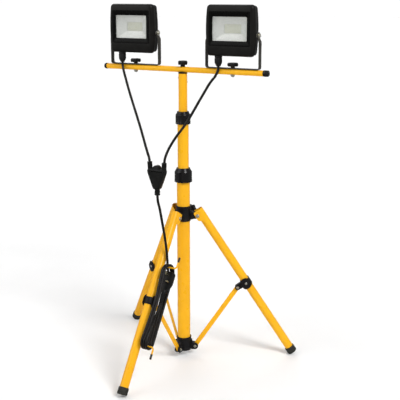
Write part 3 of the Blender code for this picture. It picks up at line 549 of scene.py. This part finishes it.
def opening(grow=0.0):
    half, low, high, corner = head["window"]
    return panelOutline(half + grow, low - grow, high + grow, max(0.8, corner + grow * 0.6))


def trayRing(half, tall, corner=1.2):
    return panelOutline(half, windowMiddle - tall, windowMiddle + tall, corner)


for side, x in bar["lamps"].items():
    label, body = side.capitalize(), f"head_{side}"
    hub = Matrix.Translation((x * mm, 0, head["tilt"] * mm))
    lay = hub @ upright
    half, low, high, corner = head["border"]
    step = panelOutline(half, low, high, corner)
    ledge = panelOutline(half - 0.5, low + 0.5, high - 0.5, corner - 0.4)

    bm = bmesh.new()
    addPanel(bm, [(headOutline(depth), y) for y, depth in head["bezel"]] + [
        (step, -24), (ledge, -23.5), (opening(0.5), -23.5), (opening(0.12), -23.3), (opening(), -22.9),
        (opening(), -20.8), (opening(6.5), -20.8), (opening(6.5), -17), (headOutline(5.4), -16),
        (headOutline(5.2), -6.5), (headOutline(1.6), -6.4)], lay, looped=True)
    for face in bm.faces:
        spot = hub.inverted() @ face.calc_center_median() / mm
        if abs(spot.x) < half - 0.1 and low + 0.1 < spot.z < high - 0.1 and spot.y < -20.7:
            face.material_index = 1
    piece(f"{label} front bezel", bm, [housingCoat, borderCoat], "black_powder_coat", body, f"front_bezel_{side}",
          sharp=30)

    bm = bmesh.new()
    addPanel(bm, [(opening(4.0), -20.7), (opening(4.5), -20.2), (opening(4.5), -18.2), (opening(4.0), -17.7)], lay)
    piece(f"{label} glass", bm, [clearGlass], "clear_glass", body, f"glass_{side}")

    bm = bmesh.new()
    addPanel(bm, [(opening(3), -17.4), (opening(0.3), -17.4), (opening(-0.2), -17.0), (opening(-0.9), -15.4),
                  (opening(-1.3), -15.2), (trayRing(32.5, 17.2, 1.6), -6.4), (trayRing(31.8, 16.6, 1.6), -6.2),
                  (trayRing(27.2, 13.0, 1), -3.9), (trayRing(26.6, 12.6, 1), -2.6), (trayRing(33.3, 16.9, 1.2), -2.5),
                  (trayRing(34.2, 18.4, 1.6), -6.0), (opening(0.2), -15.6), (opening(3), -16.4)], lay, looped=True)
    piece(f"{label} reflector", bm, [brightTray], "bright_reflector", body, f"reflector_{side}", sharp=18)

    bm = bmesh.new()
    addPanel(bm, [(trayRing(33.4, 16.9), -1.9), (trayRing(34, 17.4), -1.5), (trayRing(34, 17.4), -0.3),
                  (trayRing(33.6, 17.1), 0)], lay)
    chips = head["chips"]
    chip = fillet([(-1.45, -1.6), (1.45, -1.6), (1.45, 1.6), (-1.45, 1.6)], 0.5, 2, True)
    for column in range(chips["columns"]):
        chipX = (column - (chips["columns"] - 1) / 2) * chips["across"]
        for row in range(chips["rows"]):
            chipZ = windowMiddle + (row - (chips["rows"] - 1) / 2) * chips["up"]
            spot = Matrix.Translation((chipX * mm, -1.85 * mm, chipZ * mm))
            addPrism(bm, chip, -0.45, 0.3, 0.15, hub @ spot @ upright, 1)
    piece(f"{label} LED board", bm, [whiteBoard, phosphor], "led_board", body, f"led_board_{side}")

    bm = bmesh.new()
    half, low, high, corner = head["pocket"]
    pocket = [panelOutline(half - k, low + k, high - k, corner) for k in (0, 0.6, 1.4)]
    rear = [(headOutline(depth), y) for y, depth in head["rear"]]
    floor = panelOutline(half - 2.2, low + 2.2, high - 2.2, corner)
    addPanel(bm, [(headOutline(6.4), 0.9), (headOutline(5.6), -6.2), *rear, (pocket[0], 13), (pocket[1], 12.4),
                  (pocket[2], 4.6), (floor, 3.8)], lay)
    for k in range(head["fins"]):
        across = (k - (head["fins"] - 1) / 2) * head["pitch"]
        fin = fillet([(2.6, low - 0.4), (2.6, high + 0.4), (12.9, high + 0.4, 2.5), (11.6, 46, 8), (11.6, -22, 8),
                      (12.9, low - 0.4, 2.5)], 0.6, 3, True)
        addPrism(bm, fin, across - 1.3, across + 1.3, 0.5, hub @ sideways)
    for screwX, screwZ in head["screws"]:
        spot = hub @ turnTo((screwX * mm, 12.9 * mm, screwZ * mm), (0, 1, 0))
        addFastener(bm, {"radius": 2.1, "high": 1.2}, spot, 1)
    boss = [(0, 62), (9.5, 62), (9.5, 69.8), (9.2, 70.6), (7.4, 71.9), (7, 72.3), (0, 72.3)]
    for way in (-1, 1):
        addTurned(bm, boss, 48, matrix=hub @ turnTo((0, 0, 0), (way, 0, 0)))
    piece(f"{label} rear shell", bm, [housingCoat, zincPlate], "black_powder_coat", body, f"rear_shell_{side}")

    for way, end in ((-1, "left"), (1, "right")):
        bm = bmesh.new()
        turn = hub @ turnTo((0, 0, 0), (way, 0, 0))
        addTurned(bm, [(0, 67.5), (3, 67.5), (3, 72.7), (5.7, 72.7), (6, 73), (5.9, 73.5), (5.0, 75.2), (4.7, 75.5),
                       (3.1, 75.6), (3.1, 78.3), (7.4, 78.3), (7.6, 78.5), (7.6, 79.1), (7.4, 79.3), (3, 79.3),
                       (0, 79.3)], 40, matrix=turn)
        addFastener(bm, {"radius": 5.4, "high": 3.2}, turn @ Matrix.Translation((0, 0, 79.2 * mm)))
        piece(f"{label} tilt screw {end}", bm, [zincPlate], "zinc_plated_steel", body, f"tilt_screw_{side}_{end}")

    bm = bmesh.new()
    place = hub @ Matrix.Translation((-38 * mm, -12.5 * mm, 0))
    addTurned(bm, [(0, -56), (10.1, -56), (10.5, -57.2), (10.5, -60.2), (9.7, -60.8), (9.7, -61.6),
                   (10.5, -62.2, 0.7), (10.5, -70.4, 0.7), (10.4, -71.6, 0.2), (10.3, -74.2), (9.9, -76),
                   (9.2, -77.8), (7.6, -80.6), (6.3, -83), (5.5, -84.2), (5.0, -84.5), (3.9, -84.5), (3.9, -80),
                   (0, -80)], 80, 10, place)
    piece(f"{label} cable gland", bm, [blackNylon], "black_nylon", body, f"gland_{side}")
print("lamps made")


# The tripod: a sliding collar with three legs, a fixed collar with three braces.
legs = {"front": -90, "right": 30, "left": 150}
hinge = {"radius": 41.1, "height": 439.8, "angle": 32.65}
foot = {"radius": 33.5, "height": 28.5, "angle": 34.33, "length": 226.86}
legPivot = (hinge["radius"], hinge["height"])
collarKnobHeight = 447.5


def spun(azimuth):
    return Matrix.Rotation(math.radians(azimuth), 4, "Z")


def hinged(look, azimuth, lean):
    place = Matrix.Translation((look["radius"] * mm, 0, look["height"] * mm))
    return spun(azimuth) @ place @ Matrix.Rotation(math.radians(lean), 4, "Y")


bm = bmesh.new()
addTurned(bm, [(19.3, 424.2), (19.6, 424), (21, 424), (21.5, 424.5), (21.5, 428.4), (21, 429.2), (20.8, 429.8),
               (20.8, 461.5), (21.1, 462.2), (22, 463), (22, 468.2), (21.4, 469), (19.8, 469), (19.3, 468.6)], 96,
               looped=True)
for azimuth in legs.values():
    lug = [Vector(p) for p in ((19.8, 452), (19.8, 427.5), (30, 430.2))]
    lug += arc(legPivot, 9, -80, 80, 12) + [Vector((31, 449.8))]
    core = [Vector(p) for p in ((19.8, 455), (19.8, 430), (31.5, 433), (31.5, 447.5))]
    for low, high in ((-10.3, -6), (6, 10.3)):
        addPrism(bm, lug, low, high, 0.8, spun(azimuth) @ upright)
    addPrism(bm, core, -6.6, 6.6, 0.5, spun(azimuth) @ upright)
    sleeve = spun(azimuth) @ turnTo((legPivot[0] * mm, 0, legPivot[1] * mm), (0, 1, 0))
    addTurned(bm, fillet([(5.2, -7), (5.2, 7), (3.4, 7), (3.4, -7)], 0.3, 2, True), 32, matrix=sleeve, looped=True)
outward = turnTo((0, 0, collarKnobHeight * mm), (0, 1, 0))
addTurned(bm, [(3.3, 15), (7.8, 15), (9.4, 20.6), (7.8, 23.4), (7.5, 34.6), (8.3, 35.3), (8.3, 36.2), (8, 36.5),
               (3.3, 36.5)], 48, matrix=outward, looped=True)
for way in (-1, 1):
    rib = [Vector(p) for p in ((19.5, 434), (33, 440), (33, 455), (19.5, 461))]
    addPrism(bm, rib, way * 6 - 1.1, way * 6 + 1.1, 0.4, spun(90) @ upright)
piece("Leg collar", bm, [blackNylon], "black_nylon", "leg_collar", "leg_collar")
bm = bmesh.new()
addKnob(bm, knobLooks["collar"], outward)
piece("Collar knob", bm, [blackNylon, zincPlate], "black_nylon", "collar_knob", "collar_knob")

bm = bmesh.new()
addTurned(bm, [(0, 20.5), (12, 20.5), (13, 19.6), (19, 19), (22.2, 19), (22.8, 19.7), (22.8, 24.4), (22.2, 25.2),
               (21.5, 25.6), (21.5, 55.6), (22, 56.2), (22.5, 57), (22.5, 59.3), (21.9, 60), (19.9, 60), (19.3, 59.5),
               (19.3, 23.6), (0, 23.2)], 96)
for azimuth in legs.values():
    plate = [Vector(p) for p in ((20.5, 41), (20.5, 19), (36, 18.5))]
    plate += arc((33.2, 28.6), 9.6, -66, 66, 10) + [Vector((31, 39.6))]
    for low, high in ((-8, -2.1), (2.1, 8)):
        addPrism(bm, plate, low, high, 0.7, spun(azimuth) @ upright)
    brow = [Vector(p) for p in ((20.5, 49), (20.5, 38), (27, 38), (24, 48))]
    addPrism(bm, brow, -8, 8, 0.6, spun(azimuth) @ upright)
    for way in (-1, 1):
        seat = spun(azimuth) @ turnTo((foot["radius"] * mm, way * 7.9 * mm, foot["height"] * mm), (0, way, 0))
        addFastener(bm, {"radius": 3.7, "high": 2.8, "washer": 4.6, "flats": 0 if way < 0 else 6}, seat, 1)
piece("Base collar", bm, [blackNylon, zincPlate], "black_nylon", "mast", "base_collar")
print("collars made")

legLook = {
    "offset": 11.5, "radius": 12.5, "wall": 1.5, "ear": 12.8, "end": -518, "bracket": -253.5,
    "ears": [(-21.5, 10.5), (-21.1, 8.2), (-20.2, 5), (-18.6, 1), (-17, -2), (-15, -4.6), (-12.5, -6.1), (-9, -6.5),
             (8, -6.5), (11, -5.8), (13, -4.2), (13.8, -2.6), (14, -1.4)],
}
hookLooks = {"upper": {"drop": 149, "way": -1}, "lower": {"drop": 377, "way": 1}}


def earRing(z, inner):
    centre, outer = legLook["offset"], legLook["ear"]
    inside = outer - legLook["wall"]
    halfway = (inner + centre) / 2
    ring = [Vector((inner, outer)), Vector((halfway, outer))] + arc((centre, 0), outer, 90, -90, 20)
    ring += [Vector(p) for p in ((halfway, -outer), (inner, -outer), (inner, -inside), (halfway, -inside))]
    ring += arc((centre, 0), inside, -90, 90, 20) + [Vector((halfway, inside)), Vector((inner, inside))]
    return [(p.x * mm, p.y * mm, z * mm) for p in ring]


for name, azimuth in legs.items():
    label, body = name.capitalize(), f"leg_{name}"
    place = hinged(hinge, azimuth, -hinge["angle"])
    tubeAxis = place @ Matrix.Translation((legLook["offset"] * mm, 0, 0))

    bm = bmesh.new()
    addTube(bm, legLook["radius"], legLook["wall"], legLook["end"], -12, tubeAxis, sides=64)
    addLoft(bm, [earRing(z, inner) for z, inner in legLook["ears"]], place)
    hole = place @ turnTo((0.2 * mm, 3 * mm, -26 * mm), (-0.92, 0.3, 0))
    addTurned(bm, [(0, 0), (1.9, 0), (2.1, 0.1), (2.1, 0.35), (1.6, 0.5), (1.3, 0.1), (0, 0.1)], 20, matrix=hole,
              slot=1)
    piece(f"{label} leg", bm, [yellowPaint, dippedVinyl], "yellow_paint", body, f"leg_{name}")

    bm = bmesh.new()
    for way in (-1, 1):
        look = {"radius": 4.7, "high": 3.2, "washer": 5.6, "flats": 0 if way < 0 else 6}
        addFastener(bm, look, place @ turnTo((0, way * 12.85 * mm, 0), (0, way, 0)))
    addTurned(bm, [(0, -12.9), (3, -12.9), (3, 12.9), (0, 12.9)], 24, matrix=place @ turnTo((0, 0, 0), (0, 1, 0)))
    piece(f"{label} leg bolt", bm, [zincPlate], "zinc_plated_steel", body, f"leg_bolt_{name}")

    bm = bmesh.new()
    tread = [(0, -520.2), (4.5, -520.2), (5, -519.2), (8, -519.2), (8.5, -520.4), (11.6, -520.5), (13.4, -519.7),
             (14.4, -518.2), (14.7, -516.4), (14.7, -514.6), (14, -514), (14, -513), (14.7, -512.4), (14.7, -510.4),
             (14, -509.8), (14, -508.8), (14.7, -508.2), (14.7, -502.6), (14.4, -500.6), (13.6, -499.7),
             (12.7, -499.5), (12.55, -500), (12.55, -517.5), (0, -517.6)]
    addTurned(bm, tread, 72, matrix=tubeAxis)
    piece(f"{label} foot", bm, [greyRubber], "grey_rubber", body, f"foot_{name}")

    bm = bmesh.new()
    middle = legLook["bracket"]
    cheek = [Vector((24.6, middle - 9.5)), Vector((24.6, middle + 9.5))] + arc((8.5, middle), 17.3, 44, 128, 10)
    cheek += [Vector((-5, middle + 8.6)), Vector((-5, middle - 8.6))] + arc((8.5, middle), 17.3, 232, 316, 10)
    for low, high in ((-14.8, -12.8), (12.8, 14.8)):
        addPrism(bm, cheek, low, high, 0.6, place @ upright)
    bends = arc((0, 0), 14.7, 82, -82, 18) + arc((0, 0), 12.7, -82, 82, 18)
    shell = [Vector((legLook["offset"] + p.x, p.y)) for p in bends]
    addPrism(bm, shell, middle - 10.4, middle + 10.4, 0.5, place)
    web = [Vector(p) for p in ((-4.6, -14.6), (-1.6, -14.6), (-1.6, 14.6), (-4.6, 14.6))]
    addPrism(bm, web, middle - 9.5, middle + 9.5, 0.5, place)
    arm = [Vector((-2, middle + 8.6)), Vector((-12, middle + 8))] + arc((-19.5, middle), 7.9, 90, 270, 12)
    arm += [Vector((-12, middle - 8)), Vector((-2, middle - 8.6))]
    for low, high in ((-7, -1.9), (1.9, 7)):
        addPrism(bm, arm, low, high, 0.7, place @ upright)
    for way in (-1, 1):
        look = {"radius": 3.6, "high": 2.4, "washer": 4.4, "flats": 0 if way < 0 else 6}
        addFastener(bm, look, place @ turnTo((-19.5 * mm, way * 6.9 * mm, middle * mm), (0, way, 0)), 1)
        addFastener(bm, {"radius": 3.7, "high": 2.2}, place @ turnTo((9 * mm, way * 14.7 * mm, middle * mm),
            (0, way, 0)), 1)
    piece(f"{label} brace bracket", bm, [blackNylon, zincPlate], "black_nylon", body, f"brace_bracket_{name}")

    bm = bmesh.new()
    strip = arc((0, 0), 7, 180, 360, 12) + arc((0, foot["length"]), 7, 0, 180, 12)
    lower = hinged(foot, azimuth, foot["angle"])
    addPrism(bm, strip, -1.25, 1.25, 0.4, lower @ upright)
    groove = arc((0, 16), 1.5, 180, 360, 8) + arc((0, foot["length"] - 16), 1.5, 0, 180, 8)
    for way in (-1, 1):
        for end in (0, foot["length"]):
            addTurned(bm, [(0, 0), (4.4, 0), (4.4, 0.4), (4.1, 0.6), (0, 0.6)], 32,
                      matrix=lower @ turnTo((0, way * 1.2 * mm, end * mm), (0, way, 0)), slot=1)
        low, high = sorted((way * 1.0, way * 1.5))
        addPrism(bm, groove, low, high, 0.2, lower @ upright)
    piece(f"{label} brace", bm, [yellowPaint, zincPlate], "yellow_paint", f"brace_{name}", f"brace_{name}")

frontLeg = hinged(hinge, legs["front"], -hinge["angle"])
for name, look in hookLooks.items():
    bm = bmesh.new()
    x, z, way = legLook["offset"], -look["drop"], look["way"]
    turns = [math.pi / 16 * k for k in range(9)]
    bend = [(x, 48 + 7 * math.sin(a), z - way * 7 * (1 - math.cos(a))) for a in turns]
    line = [(x, 11.6, z), (x, 14, z), (x, 30, z), *bend, (x, 55, z - way * 14), (x, 55, z - way * 32.4)]
    addSweep(bm, [Vector(p) * mm for p in line], 2.4 * mm, 24, frontLeg)
    bead = [(0, 11.4), (4.6, 11.6), (4.4, 12.9), (3.6, 13.9), (2.9, 14.6), (2.3, 15), (0, 15)]
    addTurned(bm, bead, 40, 9, frontLeg @ turnTo((x * mm, 0, z * mm), (0, 1, 0)))
    cap = [(2.5, 18.4), (3, 18.6), (3.15, 19.2), (3.2, 29), (3.1, 31.5), (2.5, 32.8), (1.4, 33.3), (0, 33.4)]
    addTurned(bm, cap, 32, matrix=frontLeg @ turnTo((x * mm, 55 * mm, z * mm), (0, 0, -way)), slot=1)
    piece(f"{name.capitalize()} cord hook", bm, [yellowPaint, dippedVinyl], "yellow_paint", "leg_front",
          f"{name}_hook")
print("legs made")


# The Y splitter that joins both lamp leads to the main lead.
splitter = {"origin": (-9.8, -125, 524.6), "half": 9, "arms": ((-21.5, 60, -23.9, 93.5), (21.5, 60, 23.9, 93.5))}
bm = bmesh.new()
place = Matrix.Translation(Vector(splitter["origin"]) * mm)
outline = fillet([(-9, 17, 4), (9, 17, 4), (15, 30, 6), (28, 64, 4), (29, 71, 3), (20, 77, 3), (11.5, 75, 3),
                  (-11.5, 75, 3), (-20, 77, 3), (-29, 71, 3), (-28, 64, 4), (-15, 30, 6)], 4, 4, True)
addPrism(bm, outline, -splitter["half"], splitter["half"], 3, place @ upright)
lid = inset(outline, 5)
for way in (-1, 1):
    low, high = sorted((way * 8.6, way * 9.5))
    addPrism(bm, lid, low, high, 0.4, place @ upright)
addPrism(bm, arc((0, 73), 12.4, 0, 360, 40)[:-1], -7.4, 7.4, 1.6, place @ upright)
for startX, startZ, endX, endZ in splitter["arms"]:
    start, end = Vector((startX, 0, startZ)), Vector((endX, 0, endZ))
    long = (end - start).length
    rings = [(0, 0), (6.9, 0), (7.2, 6), (7.2, 17)]
    for k in range(4):
        rings += [(7.2, 17.6 + 4 * k), (6.4, 18.1 + 4 * k), (6.4, 19.2 + 4 * k), (7.2, 19.7 + 4 * k)]
    rings += [(7.2, long - 0.8), (6.6, long), (3.9, long), (3.7, long - 4), (0, long - 4)]
    addTurned(bm, rings, 40, matrix=place @ turnTo(start * mm, end - start))
neck = [(0, 4), (3.7, 4), (3.9, 0), (7.2, 0), (8, 0.8)]
for k in range(4):
    neck += [(8 - 0.1 * k, 3 + 4.2 * k), (7.0, 3.6 + 4.2 * k), (7.0, 4.9 + 4.2 * k), (8 - 0.1 * k, 5.5 + 4.2 * k)]
addTurned(bm, neck + [(8, 24), (0, 24)], 40, matrix=place)
piece("Lead splitter", bm, [mouldedPlastic], "black_pvc", "mid", "splitter")

# A generic moulded plug with three flat pins, facing away from the mast inside the wound lead.
plug = {"middle": 31.5, "half": 18, "top": -160, "low": -213, "back": -5.5, "face": 11, "pinEnd": 27.5}
bm = bmesh.new()
y, half, top, low = plug["middle"], plug["half"], plug["top"], plug["low"]
outline = fillet([(y - 9, low, 3), (y + 9, low, 3), (y + half, low + 16, 9), (y + half, top, 9), (y - half, top, 9),
                  (y - half, low + 16, 9)], 6, 6, True)
addPrism(bm, outline, plug["back"], plug["face"], 2.4, frontLeg @ sideways)
addPrism(bm, inset(outline, 4), plug["back"] - 0.4, plug["back"] + 3, 0.6, frontLeg @ sideways)
for k in range(4):
    for way in (-1, 1):
        grip = arc((y + way * (half - 1.2), low + 22 + 5 * k), 1.6, 0, 360, 12)[:-1]
        addPrism(bm, grip, plug["back"] + 2.5, plug["face"] - 2.5, 0.5, frontLeg @ sideways)
relief = [(0, -3), (8, -3), (8, 6)]
for k in range(7):
    radius = 8 - 0.33 * k
    relief += [(radius, 8 + 4.2 * k), (radius - 1.2, 8.6 + 4.2 * k), (radius - 1.3, 9.8 + 4.2 * k),
               (radius - 0.2, 10.4 + 4.2 * k)]
relief += [(5.8, 37.6), (5.5, 38.5), (3.9, 38.5), (3.7, 35), (0, 35)]
addTurned(bm, relief, 40, matrix=frontLeg @ turnTo((2.75 * mm, y * mm, low * mm), (0, 0, -1)))
for pinY, pinZ, halfY, halfZ in ((0, -169, 2, 4), (-11, -191, 3.2, 2), (11, -191, 3.2, 2)):
    left, right, under, over = y + pinY - halfY, y + pinY + halfY, pinZ - halfZ, pinZ + halfZ
    shape = fillet([(left, under), (right, under), (right, over), (left, over)], 0.6, 2, True)
    if pinY:
        addPrism(bm, shape, plug["face"] - 2, plug["face"] + 7, 0.3, frontLeg @ sideways, 0)
        addPrism(bm, inset(shape, 0.05), plug["face"] + 6.5, plug["pinEnd"], 0.8, frontLeg @ sideways, 1)
    else:
        addPrism(bm, shape, plug["face"] - 2, plug["pinEnd"], 0.8, frontLeg @ sideways, 1)
plugPiece = piece("Plug", bm, [mouldedPlastic, brassPin], "black_pvc", "leg_front", "plug")


# The free leads. Each is cut where it crosses a joint.
lead = {"radius": 3.65, "spacing": 6}
routes = {
    "Left": [(-197, -12.5, 881), (-197, -12.6, 872.5), (-195.3, -13.7, 864), (-189.5, -17.7, 851), (-177, -26.3, 831),
             (-152, -43.5, 792), (-90.6, -85.9, 708), (-62, -105.6, 664), (-46, -116.8, 640), (-37, -123, 628.5),
             (-33.8, -125, 614.6)],
    "Right": [(121, -12.5, 881), (121, -12.6, 872.5), (119.4, -14.2, 864), (113.8, -20.1, 850), (103.5, -30.9, 832),
              (86.5, -48.8, 793), (59.2, -77.5, 729.4), (36, -101.9, 686), (22.4, -116.3, 655), (15.6, -123.4, 631),
              (14.2, -125, 614.6)],
    "Main": [(-9.8, -125, 528), (-8.6, -125, 508), (-2, -125.2, 484), (6.2, -125.3, 443), (13.6, -125.2, 404),
             (18.6, -125, 368), (21.5, -125, 331.4)],
}
cuts = {
    "Left": [(800, "head_left", "bracket_left"), (748, "bracket_left", "bar"), (690, "bar", "top"),
             (0, "top", "mid")],
    "Right": [(808, "head_right", "bracket_right"), (752, "bracket_right", "bar"), (692, "bar", "top"),
              (0, "top", "mid")],
    "Main": [(462, "mid", "mast"), (400, "mast", "leg_collar"), (0, "leg_collar", "leg_front")],
}
stands = {"Left": "lead_left", "Right": "lead_right", "Main": "main_lead"}
measured = {}
for name, route in routes.items():
    path = smoothRoute([Vector(p) * mm for p in route], lead["spacing"] * mm)
    measured[name] = routeLength(path)
    for number, (height, above, below) in enumerate(cuts[name], 1):
        count = next((i for i, p in enumerate(path) if p.z < height * mm), len(path) - 1)
        part, path = path[: count + 1], path[count:]
        bm = bmesh.new()
        addSweep(bm, part, lead["radius"] * mm)
        made = piece(f"{name} lead {number}", bm, [blackSheath], "black_pvc", None, stands[name])
        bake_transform(made)

# The wound lead hangs on the hooks: two and a half turns, then up the middle to the plug.
hank = {"loop": 22.5, "top": 165.15, "bottom": 360.85, "lanes": (21.45, 25.3, 29.1, 32.9, 36.75, 40.4)}
lanes, loop = hank["lanes"], hank["loop"]
begin = frontLeg.inverted() @ (Vector(routes["Main"][-1]) * mm) / mm
coil = [(begin.x - 11.5, begin.y, -begin.z), (-5.6, 21.45, 145), (-12.5, 21.45, 153), (-18.8, 21.45, 164),
        (-22.1, 21.45, 180)]


def turnOver(centre, start, end, first, last, steps=9):
    made = []
    for k in range(steps + 1):
        a = math.radians(start + (end - start) * k / steps)
        made.append((loop * math.cos(a), first + (last - first) * k / steps, centre + loop * math.sin(a)))
    return made


def straight(o, y, start, end, count=4, sag=0.0):
    marks = [k / (count + 1) for k in range(1, count + 1)]
    made = []
    for t in marks:
        bulge = sag * math.sin(math.pi * t)
        made.append((o - math.copysign(bulge, o), y + bulge, start + (end - start) * t))
    return made


coil += straight(-loop, lanes[0], hank["top"] + 20, hank["bottom"])
for k in (0, 2):
    coil += turnOver(hank["bottom"], 180, 0, lanes[k], lanes[k + 1])
    coil += straight(loop, lanes[k + 1], hank["bottom"], hank["top"], sag=3.5)
    coil += turnOver(hank["top"], 0, -180, lanes[k + 1], lanes[k + 2])
    coil += straight(-loop, lanes[k + 2], hank["top"], hank["bottom"])
coil += turnOver(hank["bottom"], 180, 12, lanes[4], lanes[5])
coil += [(20.2, 39.6, 343), (15, 37.6, 325), (7.5, 34.6, 306), (-1, 32.4, 289), (-6.9, 31.5, 272), (-8.75, 31.5, 260),
         (-8.75, 31.5, 248.5)]
path = [frontLeg @ (Vector((11.5 + o, y, -s)) * mm) for o, y, s in coil]
path = smoothRoute(path, lead["spacing"] * mm)
measured["Wound"] = routeLength(path)
bm = bmesh.new()
addSweep(bm, path, lead["radius"] * mm)
made = piece("Wound lead", bm, [blackSheath], "black_pvc", "leg_front", "cord_hank")
print("leads made", {name: round(value, 4) for name, value in measured.items()})


# A wide pale floor and a white surround behind everything, lit by three soft distant lights. In metres.
stage = {"floor": 40, "depth": 0.1, "gap": 0.0005, "surround": 44, "sky": 0.35}


def stageDisc(name, rings, material):
    bm = bmesh.new()
    addTurned(bm, rings, 96, scale=1)
    for face in bm.faces:
        face.smooth = name == "Surround"
    mesh = bpy.data.meshes.new(name)
    bm.to_mesh(mesh)
    bm.free()
    mesh.materials.append(material)
    made = bpy.data.objects.new(name, mesh)
    bpy.context.scene.collection.objects.link(made)
    made.visible_glossy = False
    made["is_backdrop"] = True
    return made


paper = surface("white studio paper", {
    "colour": "FDFDFD", "shade": "F8F8F8", "patch": 400, "rough": (0.8, 0.95), "grain": [(2, 0.01), (0.6, 0.003)]})
top = cadLow[2] - stage["gap"]
rings = [(reach, top) for reach in (0, stage["floor"] / 5, stage["floor"] / 2, stage["floor"])]
stageDisc("Floor", [*rings, (stage["floor"], top - stage["depth"]), (0, top - stage["depth"])], paper)
glow = bpy.data.materials.new("white surround")
glow.use_nodes = True
glowInputs = {"Base Color": hexColour("000000"), "Emission Color": hexColour("FFFFFF"), "Emission Strength": 1.0}
for key, value in glowInputs.items():
    glow.node_tree.nodes["Principled BSDF"].inputs[key].default_value = value
turns = [math.radians(a) for a in range(-90, 91, 10)]
dome = [(stage["surround"] * math.cos(a), stage["surround"] * math.sin(a)) for a in turns]
surround = stageDisc("Surround", dome, glow)
surround.visible_diffuse = False
surround.visible_shadow = False

lights = {
    "Key": {"from": (1.0, -0.42, 0.95), "spread": 24, "power": 2.2},
    "Fill": {"from": (-0.75, -1.0, 0.62), "spread": 50, "power": 1.0},
    "Rim": {"from": (-0.8, 1.0, 1.0), "spread": 35, "power": 0.7},
}
for name, look in lights.items():
    lamp = bpy.data.lights.new(name, "SUN")
    lamp.angle = math.radians(look["spread"])
    lamp.energy = look["power"]
    made = bpy.data.objects.new(name, lamp)
    made.rotation_euler = Vector(look["from"]).to_track_quat("Z", "Y").to_euler()
    bpy.context.scene.collection.objects.link(made)
world = bpy.data.worlds.new("Studio")
world.use_nodes = True
world.node_tree.nodes["Background"].inputs["Color"].default_value = hexColour("FFFFFF")
world.node_tree.nodes["Background"].inputs["Strength"].default_value = stage["sky"]
bpy.context.scene.world = world

view = {"lens": 75.8, "sensor": 36, "place": (1.2328, -2.0541, 1.0707), "way": (-0.4829, 0.8429, -0.2375)}
camera = bpy.data.cameras.new("Camera")
camera.lens = view["lens"]
camera.sensor_width = view["sensor"]
made = bpy.data.objects.new("Camera", camera)
made.location = view["place"]
made.rotation_euler = Vector(view["way"]).to_track_quat("-Z", "Y").to_euler()
bpy.context.scene.collection.objects.link(made)
bpy.context.scene.camera = made
bpy.context.scene.view_settings.view_transform = "Standard"
print("studio made")

low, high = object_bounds()
